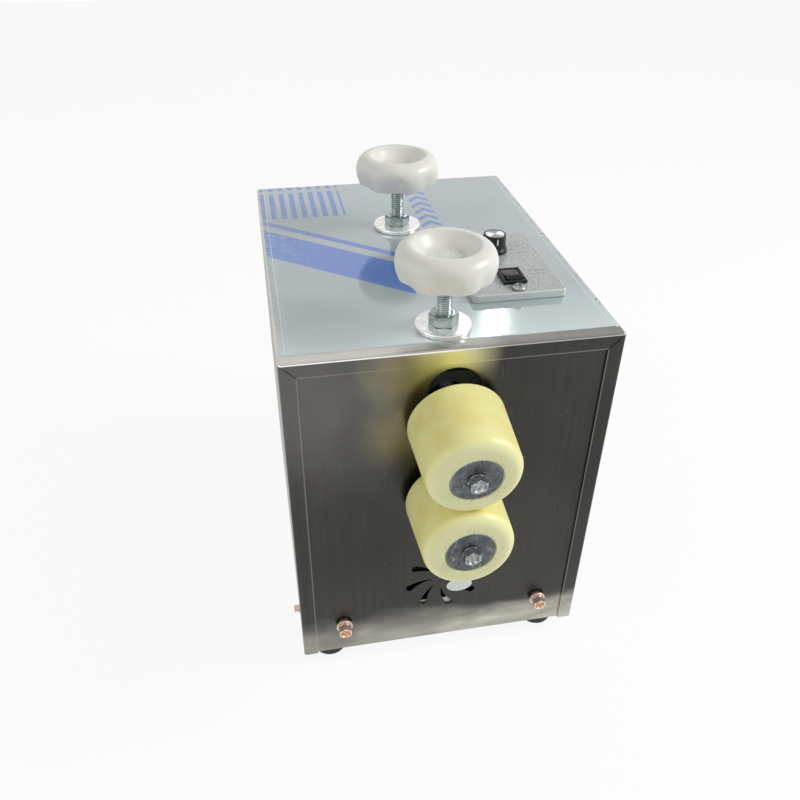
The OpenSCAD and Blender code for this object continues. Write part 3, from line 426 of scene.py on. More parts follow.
def read_from(items, key, width, kind=float):
    """A value of every item of a mesh as rows of the given width."""
    values = np.zeros(len(items) * width, kind)
    items.foreach_get(key, values)
    return values.reshape(-1, width)


def point_layer(mesh, name, values):
    """A value for each point of a mesh, kept as an attribute."""
    mesh.attributes.new(name, "FLOAT", "POINT").data.foreach_set("value", values)


def show(mesh, materials, body, nodes=(), sharp=35):
    """Makes a mesh a piece that rides on a body, takes its finish from a slot and stands for CAD nodes."""
    for surface in materials:
        mesh.materials.append(surface)
    mesh.shade_smooth()
    mesh.set_sharp_from_angle(angle=math.radians(sharp))
    piece = bpy.data.objects.new(mesh.name, mesh)
    bpy.context.scene.collection.objects.link(piece)
    if body:
        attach(piece, body)
    if nodes:
        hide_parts(*nodes)
    return piece


def rounded_edges(piece, width, segments=2, angle=40):
    """Rounds a piece's sharp edges with a live bevel."""
    bevel = piece.modifiers.new("edges", "BEVEL")
    bevel.width = width * MM
    bevel.segments = segments
    bevel.limit_method = "ANGLE"
    bevel.angle_limit = math.radians(angle)
    bevel.harden_normals = True


def thickened(piece, thickness, even=False):
    """Gives a skin its wall, inwards."""
    wall = piece.modifiers.new("wall", "SOLIDIFY")
    wall.thickness = thickness * MM
    wall.offset = -1
    wall.use_even_offset = even


def clad(node, name, surface, edge):
    """A welded copy of a CAD node, its level faces joined and its edges rounded, in the node's place."""
    source = frame["nodes"][node].data
    points = read_from(source.vertices, "co", 3)
    faces = read_from(source.polygons, "vertices", 3, int)
    mesh = bpy.data.meshes.new(name)
    mesh.from_pydata(points.tolist(), [], faces.tolist())
    rounded_edges(show(tidied(mesh, math.radians(0.5)), [surface], "frame", [node]), edge)


def drilled(piece, cutters):
    """Cuts closed grids out of a piece and keeps the result as its mesh."""
    tool = bpy.data.objects.new("drill", mesh_of("drill", cutters))
    bpy.context.scene.collection.objects.link(tool)
    cut = piece.modifiers.new("cut", "BOOLEAN")
    cut.object = tool
    cut.solver = "EXACT"
    view = bpy.context.evaluated_depsgraph_get()
    result = bpy.data.meshes.new_from_object(piece.evaluated_get(view))
    result.name = piece.name
    piece.modifiers.clear()
    piece.data = result
    bpy.data.objects.remove(tool)


def rod_cutter(origin, radius, reach, axis=UP):
    """A closed cylinder about an axis, reach to both sides of its origin."""
    return placed(pin(radius, -reach, reach, 48), origin, axis)


def control_cutters(level, reach):
    """Cutters for the dial's bush and for the switch, through the sheet at a level."""
    lo, hi = corners_of("switch_body")
    hole = bar(*(hi - lo)[:2] - 2 * SWITCH_LIP, 0.3, -reach, reach)
    return [rod_cutter(at_height(spindle("speed_turn")[0], level), BUSH_RADIUS, reach),
            placed(hole, at_height((lo + hi) / 2, level))]


# Nodes and materials


def wire(node, inputs):
    """Fills a node's inputs by name or by place: nodes and sockets are linked, other values are written."""
    sockets = [socket for socket in node.inputs if socket.enabled]
    for key, value in inputs.items():
        socket = sockets[key] if isinstance(key, int) else next(s for s in sockets if s.name == key)
        if isinstance(value, Node):
            value = next(out for out in value.outputs if out.enabled)
        if isinstance(value, NodeSocket):
            node.id_data.links.new(value, socket)
        else:
            socket.default_value = value
    return node


def add(tree, kind, *inputs, named=None, stops=(), **settings):
    """Adds a node with its settings, its inputs in order and by name, and a ramp's stops (place, colour).

    What follows a colon in the kind is a Mix node's data type or any other node's operation.
    """
    kind, _, mode = kind.partition(":")
    if mode:
        settings["data_type" if kind == "Mix" else "operation"] = mode
    node = tree.nodes.new("ShaderNode" + kind)
    for key, value in settings.items():
        setattr(node, key, value)
    for number, (place, shade) in enumerate(stops):
        ramp = node.color_ramp.elements
        stop = ramp[number] if number < 2 else ramp.new(place)
        stop.position = place
        stop.color = linear(shade) if isinstance(shade, str) else shade
    return wire(node, dict(enumerate(inputs)) | (named or {}))


def material(name, **inputs):
    """A new material with plain values set on its shader, and the function that adds a node to it."""
    made = bpy.data.materials.new(name)
    made.use_nodes = True
    shader = made.node_tree.nodes["Principled BSDF"]
    wire(shader, {key.replace("_", " "): value for key, value in inputs.items()})
    return made, partial(add, made.node_tree)


def surfaced(made, node, shade, rough, height, depth, strength=1.0):
    """Gives a material its colour, its roughness and a relief of the given depth in millimetres."""
    bump = node("Bump", strength, depth * MM, named={"Height": height})
    wire(made.node_tree.nodes["Principled BSDF"], {"Base Color": shade, "Roughness": rough, "Normal": bump})
    return made


def toned(shade, factor):
    """A colour made darker by a factor."""
    return (*(factor * part for part in shade[:3]), 1)


def pattern_space(node, size):
    """Object coordinates counted in pattern sizes, given in millimetres for each axis."""
    scale = 1 / (np.broadcast_to(size, 3) * MM)
    return node("Mapping", node("TexCoord").outputs["Object"], named={"Scale": scale.tolist()})


def mottle(node, size, detail=4.0, rough=0.6, warp=0.0):
    """Cloudy noise whose clouds have the given size in millimetres."""
    looks = {"Scale": 1.0, "Detail": detail, "Roughness": rough, "Distortion": warp}
    return node("TexNoise", pattern_space(node, size), named=looks).outputs["Fac"]


def painted_on(node, name):
    """A value that was written to the points of a piece."""
    return node("Attribute", attribute_name=name).outputs["Fac"]


def brushed_stainless(name, grain, dark, light, bright=None, band=0.0, painted_reflections=(), lines=(), lean=None):
    """Stainless sheet, belt brushed: even metal with faint streaks, soft clouds and a few pale scratches.

    Lines are stops over the first grid parameter that paint highlights and shade on folds and sheared
    edges, a quarter being neutral. A lean (from x, to x, factor, factor), in millimetres, paints light
    and shade across the sheet from side to side.
    Bright is the colour of a painted reflection of the floor, in a band up to the height band, and each
    painted reflection patch is (place, reach, share, colour).
    """
    made, node = material(name, Metallic=1.0)
    # Real brushing is finer than a pixel here, so the streaks are drawn almost a millimetre wide
    streak = mottle(node, grain, 4.0, 0.55)
    wide = mottle(node, np.array(grain) * 5, 2.0, 0.5)
    tone = node("Math:MULTIPLY_ADD", streak, 0.6, node("Math:MULTIPLY", wide, 0.4))
    shade = node("ValToRGB", tone, stops=[(0.34, dark), (0.66, light)])
    factors = [node("MapRange", mottle(node, 110, 2.0, 0.5, 0.6), 0.32, 0.7, 0.88, 1.15)]
    spot = node("TexCoord").outputs["Object"]
    x, _, z = node("SeparateXYZ", spot).outputs
    if lines:
        along = node("SeparateXYZ", node("UVMap", uv_map="grid"))
        ramp = node("ValToRGB", along.outputs["X"], stops=[(u, (g, g, g, 1)) for u, g in lines])
        factors.append(node("Math:MULTIPLY", ramp, 4.0))
    if lean:
        factors.append(node("MapRange", x, lean[0] * MM, lean[1] * MM, *lean[2:]))
    for factor in factors:
        shade = node("VectorMath:SCALE", shade, factor)
    scratch = node("MapRange", mottle(node, (1.1, 1.1, 12), 2.0, 0.5, 1.2), 0.72, 0.77, 0.0, 0.22)
    shade = node("Mix:RGBA", scratch, shade, linear("#b5b4b0"))
    if bright:
        # A painted reflection of the floor in a band at the foot: cloudy, with a soft uneven upper edge,
        # brighter to the right
        edge = node("Math:MULTIPLY_ADD", mottle(node, (50, 50, 24), 2.0, 0.5, 0.6), 30 * MM, z)
        share = node("MapRange", edge, (band - 6) * MM, (band + 20) * MM, 1.0, 0.0,
                     interpolation_type="SMOOTHSTEP")
        patch = node("MapRange", mottle(node, (44, 44, 15), 2.0, 0.5, 0.4), 0.34, 0.66, 0.55, 1.0)
        right = node("MapRange", x, -70 * MM, 50 * MM, 0.6, 1.0)
        share = node("Math:MULTIPLY", share, node("Math:MULTIPLY", patch, right))
        shade = node("Mix:RGBA", share, shade, bright)
    for middle, reach, share, reflected_colour in painted_reflections:
        # A soft patch of painted reflection round a place, in millimetres, uneven at its edge
        away = node("VectorMath:DISTANCE", spot, (np.array(middle) * MM).tolist())
        away = node("Math:MULTIPLY_ADD", mottle(node, 30, 2.0, 0.5, 0.4), 0.5 * reach * MM, away)
        patch = node("MapRange", away, 0.3 * reach * MM, 1.3 * reach * MM, share, 0.0,
                     interpolation_type="SMOOTHSTEP")
        shade = node("Mix:RGBA", patch, shade, linear(reflected_colour))
    rough = node("MapRange", streak, 0.3, 0.7, 0.27, 0.33)
    return surfaced(made, node, shade, rough, streak, 0.01, 0.3)


def printed_film(case):
    """Polyethylene film, blown and printed: pale, slick, faintly rippled, with worn blue ink."""
    made, node = material("polyethylene_film_printed", IOR=1.51, Metallic=0.25, Coat_Weight=0.6,
                          Coat_Roughness=0.08)
    x, y, _ = node("SeparateXYZ", pattern_space(node, 1.0)).outputs
    # Straight diagonal bands, one broad and one narrow
    slant = node("Math:MULTIPLY_ADD", x, 0.62, node("Math:MULTIPLY", y, 0.785))
    broad = node("Math:MULTIPLY", node("MapRange", slant, -44.0, -43.6), node("MapRange", slant, -8.0, -8.4))
    narrow = node("Math:MULTIPLY", node("MapRange", slant, 0.0, 0.4), node("MapRange", slant, 6.4, 6.0))
    bands = node("Math:MULTIPLY", node("Math:ADD", broad, narrow), node("MapRange", x, -10.0, -10.6))
    # A file of chevrons along the middle
    fold = node("Math:ABSOLUTE", node("Math:ADD", x, -24.0))
    step = node("Math:FRACT", node("Math:MULTIPLY", node("Math:ADD", y, fold), 1 / 13.0))
    chevron = node("Math:MULTIPLY", node("MapRange", step, 0.42, 0.40), node("MapRange", fold, 8.0, 7.7))
    chevron = node("Math:MULTIPLY", chevron, node("MapRange", y, 40.0, 40.5))
    # Two rows of short bars towards the rear
    stripe = node("Math:FRACT", node("Math:MULTIPLY", x, 1 / 8.0))
    row = node("Math:PINGPONG", node("Math:ADD", y, -88.0), 30.0)
    bars = node("Math:MULTIPLY", node("MapRange", stripe, 0.52, 0.50), node("MapRange", row, 3.0, 3.4))
    bars = node("Math:MULTIPLY", bars, node("MapRange", y, 88.0, 88.4))
    bars = node("Math:MULTIPLY", bars, node("MapRange", x, -38.0, -38.2))
    ink = node("Math:MAXIMUM", node("Math:MAXIMUM", bands, chevron), bars)
    # Ink rubs off in flecks, most of all near the left edge
    near = node("MapRange", x, -104.0, -40.0, 0.5, 0.7)
    wear = node("MapRange", mottle(node, 4, 4.0, 0.65, 0.3), near, node("Math:ADD", near, 0.08), 0.92, 0.45)
    cloud = node("MapRange", mottle(node, 60, 3.0, 0.5, 0.5), 0.3, 0.7)
    shade = node("Mix:RGBA", cloud, case.film, toned(case.film, 0.9))
    # Painted light: the film is painted paler towards the front
    shade = node("Mix:RGBA", node("MapRange", y, -115.0, -50.0, 1.0, 0.0), shade, linear("#ccd9da"))
    shade = node("Mix:RGBA", node("Math:MULTIPLY", ink, wear), shade, case.film_print)
    # Whitened creases where the film was bent, a few millimetres inside each side
    side = node("Math:ABSOLUTE", x)
    first, second = (node("Math:COMPARE", side, place, half) for place, half in zip(CREASES, (0.35, 0.2)))
    crease = node("Math:MULTIPLY", node("Math:MULTIPLY_ADD", second, 0.3, first), 0.4)
    shade = node("Mix:RGBA", crease, shade, linear("#eef3f5"))
    rough = node("MapRange", mottle(node, 14), 0.3, 0.7, 0.10, 0.14)
    return surfaced(made, node, shade, rough, mottle(node, (9, 26, 9), 3.0, 0.5, 0.4), 0.12, 0.4)


def cast_nylon(rolls):
    """Cast nylon, turned: waxy pale yellow that lets light in, amber where it has aged, faint tool lines."""
    made, node = material("nylon_cast_turned", IOR=1.53, Subsurface_Weight=0.45, Subsurface_Scale=4 * MM,
                          Subsurface_Radius=(1.0, 0.75, 0.25))
    aged = node("MapRange", mottle(node, 30, 3.0, 0.5, 0.4), 0.48, 0.78)
    shade = node("Mix:RGBA", aged, rolls.nylon, rolls.nylon_amber)
    speck = node("MapRange", mottle(node, 2.2, 3.0), 0.70, 0.78, 0.0, 0.35)
    shade = node("Mix:RGBA", speck, shade, linear("#a98f4a"))
    # The faced end is paler, and grime keeps to a ring round the washer
    shade = node("Mix:RGBA", painted_on(node, "faced"), shade, linear("#f0f1c2"))
    grime = node("MapRange", mottle(node, (1.2, 1.2, 2.4), 3.0, 0.6, 0.6), 0.58, 0.68, 0.0, 0.55)
    grime = node("Math:MULTIPLY", grime, painted_on(node, "ring"))
    shade = node("Mix:RGBA", grime, shade, linear("#6b6238"))
    rough = node("MapRange", mottle(node, 9), 0.3, 0.7, 0.34, 0.48)
    return surfaced(made, node, shade, rough, mottle(node, (40, 0.9, 40), 3.0, 0.5), 0.05, 0.4)


def moulded_nylon(adjust):
    """White nylon, moulded: soft off-white with a waxy gloss and a rough mottled sprue disc in the dish."""
    made, node = material("nylon_moulded_white", IOR=1.53, Subsurface_Weight=0.25, Subsurface_Scale=3 * MM,
                          Subsurface_Radius=(1.0, 0.9, 0.75))
    disc = painted_on(node, "disc")
    cloud = node("MapRange", mottle(node, 22, 3.0, 0.5), 0.3, 0.7)
    white = node("Mix:RGBA", cloud, adjust.knob, toned(adjust.knob, 0.93))
    grit = mottle(node, 1.3, 4.0, 0.7)
    chalk = node("ValToRGB", grit, stops=[(0.36, "#d0cfc9"), (0.62, "#efeeea")])
    rough = node("MapRange", disc, 0.0, 1.0, 0.36, 0.65)
    shade = node("Mix:RGBA", disc, white, chalk)
    return surfaced(made, node, shade, rough, node("Math:MULTIPLY", grit, disc), 0.3)


def plated(name, shade, worn, spangle=4.0, rough=(0.16, 0.34), metal=1.0):
    """Steel, plated: bright metal whose plating clouds and dulls in patches."""
    made, node = material(name, Metallic=metal)
    cloud = mottle(node, spangle, 4.0, 0.6, 0.3)
    tone = node("ValToRGB", cloud, stops=[(0.36, worn), (0.6, shade)])
    dull = node("MapRange", cloud, 0.35, 0.65, *rough[::-1])
    return surfaced(made, node, tone, dull, mottle(node, 0.8, 3.0), 0.02, 0.5)


def phosphated_steel(rolls):
    """Steel, stamped and phosphated: dark blue-grey, mottled, rubbed bright in places, with a painted
    highlight along its lip.
    """
    made, node = material("steel_stamped_phosphated", Metallic=1.0)
    cloud = mottle(node, 5.0, 5.0, 0.65, 0.5)
    shade = node("ValToRGB", cloud, stops=[(0.34, toned(rolls.washer, 0.45)), (0.66, rolls.washer)])
    rub = node("MapRange", mottle(node, (2.0, 2.0, 7.0), 4.0, 0.6, 1.0), 0.60, 0.68, 0.0, 0.65)
    shade = node("Mix:RGBA", rub, shade, linear("#aeb6bb"))
    # Painted highlight along the lip
    shade = node("Mix:RGBA", painted_on(node, "lip"), shade, linear("#c9cdcf"))
    return surfaced(made, node, shade, node("MapRange", cloud, 0.3, 0.7, 0.52, 0.34), cloud, 0.06)


def hammered_paint(controls):
    """Enamel, hammer finish: silver-grey paint that dries in small shallow dimples with paler rims."""
    made, node = material("enamel_hammered_silver", Metallic=0.15, Coat_Weight=0.15, Coat_Roughness=0.3)
    cells = node("TexVoronoi", pattern_space(node, 1.4), named={"Scale": 1.0, "Randomness": 1.0},
                 feature="SMOOTH_F1")
    dimple = node("Math:MULTIPLY_ADD", mottle(node, 0.9, 3.0), 0.6, cells)
    tone = node("ValToRGB", dimple, stops=[(0.35, toned(controls.paint, 0.62)), (0.85, controls.paint)])
    # Painted highlight on the faces that don't look up, the plate's edges and sides, where the relief is also
    # made smoother
    facing = node("SeparateXYZ", node("NewGeometry").outputs["Normal"]).outputs["Z"]
    edge = node("MapRange", facing, 0.97, 0.85, 0.0, 0.75)
    shade = node("Mix:RGBA", edge, tone, linear("#dce2df"))
    rough = node("MapRange", dimple, 0.3, 0.9, 0.52, 0.42)
    return surfaced(made, node, shade, rough, dimple, 0.15, node("MapRange", edge, 0.0, 0.75, 0.8, 0.1))


def moulded_plastic(name, shade, rough=0.35, grit=0.6):
    """Thermoplastic, moulded: one even colour with the fine spark grain of its mould."""
    made, node = material(name, IOR=1.5, Specular_IOR_Level=0.32)
    cloud = node("MapRange", mottle(node, 6.0), 0.3, 0.7)
    pale = (*(min(1.0, 1.5 * part + 0.004) for part in shade[:3]), 1)
    gloss = node("MapRange", cloud, 0.0, 1.0, rough - 0.05, rough + 0.1)
    shade = node("Mix:RGBA", cloud, shade, pale)
    return surfaced(made, node, shade, gloss, mottle(node, grit, 2.0, 0.5), 0.03, 0.5)


def black_plastic(context):
    """Black moulded plastic, shared by the controls and the cable gland, made when it is first asked for."""
    name = "abs_moulded_black"
    return bpy.data.materials.get(name) or moulded_plastic(name, context.scene.wrapper_controls.plastic, 0.3)


def turned_aluminium(controls):
    """Aluminium, faced on a lathe: bright disc with a painted bow tie of highlight and shade, such as its
    fine rings throw.
    """
    made, node = material("aluminium_faced_cap", Metallic=1.0)
    around, out, _ = node("SeparateXYZ", node("UVMap", uv_map="grid")).outputs
    # Painted highlight: two bright and two dark sectors round the cap, standing for the light its rings throw
    bow = node("Math:COSINE", node("Math:MULTIPLY", around, 2 * FULL_TURN))
    tone = node("ValToRGB", node("MapRange", bow, -1.0, 1.0),
                stops=[(0.3, toned(controls.cap, 0.3)), (0.75, controls.cap)])
    rings = node("Math:SINE", node("Math:MULTIPLY", out, 90.0))
    return surfaced(made, node, tone, 0.34, rings, 0.02, 0.4)


def painted_iron(name, shade, grain=1.6, metal=0.0, rough=(0.42, 0.62)):
    """Cast or rolled metal, painted or as made: a faint orange peel with darker pores."""
    made, node = material(name, Metallic=metal)
    peel = mottle(node, grain)
    tone = node("ValToRGB", peel, stops=[(0.3, toned(shade, 0.6)), (0.6, shade)])
    return surfaced(made, node, tone, node("MapRange", peel, 0.3, 0.7, *rough), peel, 0.08, 0.6)


def stuck_paper(case):
    """Paper sticker, coated: white, smooth, a little soiled."""
    made, node = material("paper_coated_sticker", IOR=1.5)
    soil = node("MapRange", mottle(node, 4.0), 0.35, 0.75, 0.0, 0.3)
    wire(made.node_tree.nodes["Principled BSDF"], {
        "Base Color": node("Mix:RGBA", soil, case.sticker, linear("#b9c0c6")),
        "Roughness": node("MapRange", soil, 0.0, 0.3, 0.3, 0.5)})
    return made


def seen_directly(node):
    """One for light that reaches the camera straight, by a reflection or through glass, otherwise nought."""
    path = node("LightPath").outputs
    seen = node("Math:MAXIMUM", path["Is Camera Ray"], path["Is Glossy Ray"])
    return node("Math:MAXIMUM", seen, path["Is Transmission Ray"])


def pale_floor(shade):
    """Painted board: pale and matt, lifted towards white where it is seen, with the shadow kept."""
    made, node = material("board_painted_pale", Roughness=0.9)
    nodes = made.node_tree.nodes
    cloud = node("MapRange", mottle(node, 300, 3.0, 0.5), 0.3, 0.7)
    wire(nodes["Principled BSDF"], {"Base Color": node("Mix:RGBA", cloud, shade, toned(shade, 0.97))})
    lift = node("Math:MULTIPLY", seen_directly(node), 0.9)
    glow = node("Emission", named={"Strength": 1.0})
    wire(nodes["Material Output"], {"Surface": node("MixShader", lift, nodes["Principled BSDF"], glow)})
    return made


# Pieces of the case


def folded_cover(width, depth, height, fold, flange, gap, close=0.6):
    """The cover's outer skin from an inset d and a depth y for each row.

    Rows run up the front flange (y = 0, d falling to the fold radius), round the fold
    (d = r - r sin a, y = r - r cos a), back along the skin (d = 0) and down the rear flange the same way.
    Columns run up the left side, round the corner fold, across the top and down the right side at that
    inset. Where the inset is larger than the fold radius the corner is left open, which is the mitre.
    The last column before a corner lies close to it, which keeps the flats' shading even.
    """
    turn = np.linspace(0, QUARTER, 7)
    rim = np.linspace(flange, fold, 4)[:-1]
    front_d = np.concatenate([rim, fold - fold * np.sin(turn)])
    front_y = np.concatenate([0 * rim, fold - fold * np.cos(turn)])
    skin = np.linspace(fold, depth - fold, 20)[1:-1]
    inset = np.concatenate([front_d, 0 * skin, front_d[::-1]])[:, None]
    back = np.concatenate([front_y, skin, depth - front_y[::-1]])[:, None]
    mitred = inset > fold + WELD
    corner = np.maximum(inset, fold)
    radius = np.maximum(fold - inset, 0)
    short = np.where(mitred, gap, 0)
    up = np.append(np.linspace(0, 1 - close / height, 14), 1)[None]
    arc = turn[None, 1:-1]
    across = np.append(-1, np.linspace(2 * close / width - 1, 0, 12))[None]
    arc_x = corner - width / 2 - radius * np.cos(arc) + np.where(mitred, np.nan, 0)
    x = np.concatenate([inset - width / 2 + 0 * up, arc_x, across * (width / 2 - corner - short)], 1)
    z = np.concatenate([up * (height - corner - short), height - corner + radius * np.sin(arc),
                        height - inset + 0 * across], 1)
    x = np.concatenate([x, -x[:, -2::-1]], 1)
    z = np.concatenate([z, z[:, -2::-1]], 1)
    return np.stack([x, back + 0 * x, z], -1)


def front_steel(case, name, grain, lines=()):
    """The brushed steel of the front, its streaks painted dark as a painted reflection of a dark room, with a
    painted reflection of the floor at its foot and painted reflections in patches.

    The patches are the painted reflection of the yellow rollers above the slot and left of the upper roller,
    and a pale patch of painted light at the upper left.
    """
    x, y, z = spindle("upper_spin")[0]
    painted_reflections = (((x - 84, y, z + 24), 92, 0.42, "#84827d"), ((x - 38, y, z - 10), 30, 0.42, "#a19468"),
              ((x - 30, y, z + 36), 36, 0.5, "#bab089"), ((x - 3, y, z + 42), 31, 0.9, "#ece8b2"))
    return brushed_stainless(name, (0.8, 0.8, grain), case.steel_dark, case.steel_light, case.steel_floor_reflection,
                             CASE_LO[2] + 30, painted_reflections, lines)


class WRAPPER_OT_case_cover(Operator):
    """Folds the cover from one sheet: top, two sides and mitred return flanges"""
    bl_idname = "wrapper.case_cover"
    bl_label = "Case cover"

    def execute(self, context):
        case = context.scene.wrapper_case
        skin = folded_cover(*CASE_HI - CASE_LO, case.fold / MM, case.flange / MM, case.mitre / MM)
        mesh = mesh_of("cover_skin", [placed(skin, ((CASE_LO[0] + CASE_HI[0]) / 2, *CASE_LO[1:]))])
        # Painted highlights on the sheared rims, and painted highlights and shade on the folds
        rims = ((0.0, 0.8), (0.004, 0.8), (0.009, 0.25), (0.991, 0.25), (0.996, 0.8))
        folds = ((0.11, 0.5), (0.135, 0.5), (0.155, 0.12), (0.18, 0.25), (0.82, 0.25), (0.845, 0.12),
                 (0.865, 0.5))
        # One steel in three painted tones by the way a face looks: the front dark, a painted reflection of a
        # dark room; the top palest, as painted light, and painted darker to the right; the sides and rear in
        # between
        upright = front_steel(case, "stainless_brushed_upright", 60, rims)
        level = brushed_stainless("stainless_brushed_level", (60, 0.8, 0.8), linear("#9c9a95"),
                                  linear("#aeaca6"), lines=folds, lean=(-5, 32, 1.45, 0.62))
        # The sides and rear also get the painted reflection of the floor at their foot
        side = brushed_stainless("stainless_brushed_side", (0.8, 0.8, 60), case.side_dark, case.side_light,
                                 case.steel_floor_reflection, CASE_LO[2] + 22)
        # Each face takes the front, top or side tone by its facing, which paints light and shade by direction
        normals = read_from(mesh.polygons, "normal", 3)
        kind = np.where(normals[:, 2] > 0.3, 1, np.where(normals[:, 1] < -0.5, 0, 2))
        mesh.polygons.foreach_set("material_index", kind)
        piece = show(mesh, [upright, level, side], "frame", ["cover"])
        thickened(piece, SHEET, even=True)
        # Holes for the adjusting rods, the controls and, right across the case, the side screws
        rod_hole, down, play, across = 6.5, 8, 0.25, 130
        holes = [rod_cutter(spindle(end + "_knob_spin")[0], rod_hole, down) for end in ENDS]
        holes += control_cutters(CASE_HI[2], down - 2)
        screw_lo, screw_hi = corners_of("side_screws")
        thread = (screw_hi - screw_lo)[2] / 2 / WASHER_SHARE
        middle = (0, *((screw_lo + screw_hi) / 2)[1:])
        holes.append(rod_cutter(middle, thread / 2 + play, across, (1, 0, 0)))
        drilled(piece, holes)
        rounded_edges(piece, 0.2, angle=50)
        return {"FINISHED"}


class WRAPPER_OT_panels(Operator):
    """Closes the case: front panel with slot and vent, rear panel, base tray"""
    bl_idname = "wrapper.panels"
    bl_label = "Panels and tray"

    def execute(self, context):
        front = front_steel(context.scene.wrapper_case, "stainless_brushed_panel", 80)
        tray = plated("steel_hot_galvanised", linear("#a9adad"), linear("#7d8384"), 9.0, (0.35, 0.55))
        clad("front_panel", "front_plate", front, 0.4)
        clad("rear_panel", "rear_plate", bpy.data.materials["stainless_brushed_side"], 0.25)
        clad("base_tray", "tray_shell", tray, 0.3)
        return {"FINISHED"}


class WRAPPER_OT_film(Operator):
    """Lays the protective film on the top, with its creases and torn side edges"""
    bl_idname = "wrapper.film"
    bl_label = "Protective film"

    def execute(self, context):
        lo, hi = corners_of("top_film")
        hole, lap, thickness = 9.0, 6.0, 0.06
        x = np.linspace(lo[0], hi[0], 130)[:, None]
        y = np.linspace(lo[1], hi[1], 170)[None]
        # Height: a hair above the steel, two low ridges inside each side and long shallow ripples
        first, second = (np.exp(-((np.abs(x) - crease) / 0.9) ** 2) for crease in CREASES)
        ripple = np.sin(0.11 * x + 0.05 * y + 1.3) * np.sin(0.047 * y - 0.06 * x)
        rise = 0.10 + 0.05 * ripple + 0.07 * (first + 0.6 * second)
        # Torn edges: the outer rows are pulled in by short notches
        ragged = np.maximum(0, np.sin(0.53 * y) * np.sin(0.171 * y + 2) * np.sin(1.9 * y) - 0.25)
        pull = 3.5 * ragged * np.exp(-(hi[0] - np.abs(x)) / 1.6)
        grid = np.stack([x - np.sign(x) * pull, y + 0 * x, CASE_HI[2] + rise], -1)
        plate_lo, plate_hi = corners_of("control_plate")
        bare_lo, bare_hi = plate_lo + lap, plate_hi - lap
        missing = (x > bare_lo[0]) & (x < bare_hi[0]) & (y > bare_lo[1]) & (y < bare_hi[1])
        for end in ENDS:
            place = spindle(end + "_knob_spin")[0]
            missing |= (x - place[0]) ** 2 + (y - place[1]) ** 2 < hole ** 2
        grid[missing] = np.nan
        film = printed_film(context.scene.wrapper_case)
        piece = show(mesh_of("film_sheet", [grid]), [film], "frame", ["top_film"])
        thickened(piece, thickness)
        return {"FINISHED"}


def combination_screw(thread, collar, shank=5.0):
    """Collar, flat washer, split spring washer and dished hexagon head in a stack, sized by the thread."""
    flat, coil, head = thread * STACK_SHARES
    bore, washer, rim = thread * np.array([BORE_SHARE, WASHER_SHARE, COLLAR_SHARE])
    disc = lathe([(bore, 0), (washer, 0, 0.25), (washer, flat, 0.3), (bore, flat), (bore, 0)], 48)
    ring = spring_washer(0.9 * thread, 0.56 * thread, coil, 0.35) + UP * (collar + flat)
    top = hex_head(1.6 * thread, head, 0.36 * thread, 0.8) + UP * (collar + flat + coil)
    stem = pin(thread / 2, -shank, collar + flat + coil, 32)
    base = [lathe([(0, 0), (rim, 0, 0.2), (rim, collar, 0.4), (0, collar)], 48)] if collar else []
    return base + [disc + UP * collar, ring, stem, top[:, :7], top[:, 6:]]


class WRAPPER_OT_case_screws(Operator):
    """Puts the copper-coloured combination screws in the panels and the sides"""
    bl_idname = "wrapper.case_screws"
    bl_label = "Case screws"

    def execute(self, context):
        shade = context.scene.wrapper_case.copper
        copper = plated("steel_copper_plated", shade, linear("#d0b0a1"), 1.6, (0.22, 0.4), 0.8)
        cup = plated("steel_copper_plated_cup", linear("#e8b878"), linear("#b57a42"), 1.6, (0.2, 0.35), 0.85)
        lo, hi = corners_of("panel_screws")
        washer = (hi[2] - lo[2]) / 2
        height = lo[2] + washer
        panels = [((x, y, height), (0, out, 0)) for y, out in ((PANEL_FACE, -1), (REAR_FACE, 1))
                  for x in (lo[0] + washer, hi[0] - washer)]
        lo, hi = corners_of("side_screws")
        small = (hi[2] - lo[2]) / 2
        sides = [((x, lo[1] + small, height), (np.sign(x), 0, 0)) for x in (CASE_LO[0], CASE_HI[0])]
        for kind, spots, radius, collar in (("panel_screw", panels, washer, PANEL_COLLAR),
                                            ("side_screw", sides, small, 0.0)):
            screw = combination_screw(radius / WASHER_SHARE, collar)
            tones = [0] * (len(screw) - 1) + [1]
            grids = [placed(grid, *spot) for spot in spots for grid in screw]
            mesh = mesh_of(kind + "_set", grids, tones * len(spots))
            show(mesh, [copper, cup], "frame", [kind + "s"])
        return {"FINISHED"}


class WRAPPER_OT_feet(Operator):
    """Moulds the four tapered rubber feet"""
    bl_idname = "wrapper.feet"
    bl_label = "Rubber feet"

    def execute(self, context):
        lo, hi = corners_of("rubber_feet")
        high = hi[2] - lo[2]
        seat, floor = 5.5, 7.0
        foot = lathe([(FOOT_BORE, high), (FOOT_RADIUS, high, 0.8), (FOOT_RADIUS - 0.3, high - 3, 0.6),
                      (12.6, 1.2, 1.2), (11.6, 0, 0.8), (6.4, 0, 0.6), (seat, 0.8, 0.4), (seat, floor, 0.3),
                      (FOOT_BORE, floor), (FOOT_BORE, high)], 64)
        grids = [placed(foot, (x, y, lo[2])) for x in (lo[0] + FOOT_RADIUS, hi[0] - FOOT_RADIUS)
                 for y in (lo[1] + FOOT_RADIUS, hi[1] - FOOT_RADIUS)]
        rubber = moulded_plastic("rubber_moulded_black", context.scene.wrapper_case.rubber, 0.62, 0.9)
        show(mesh_of("foot_set", grids), [rubber], "frame", ["rubber_feet"])
        return {"FINISHED"}


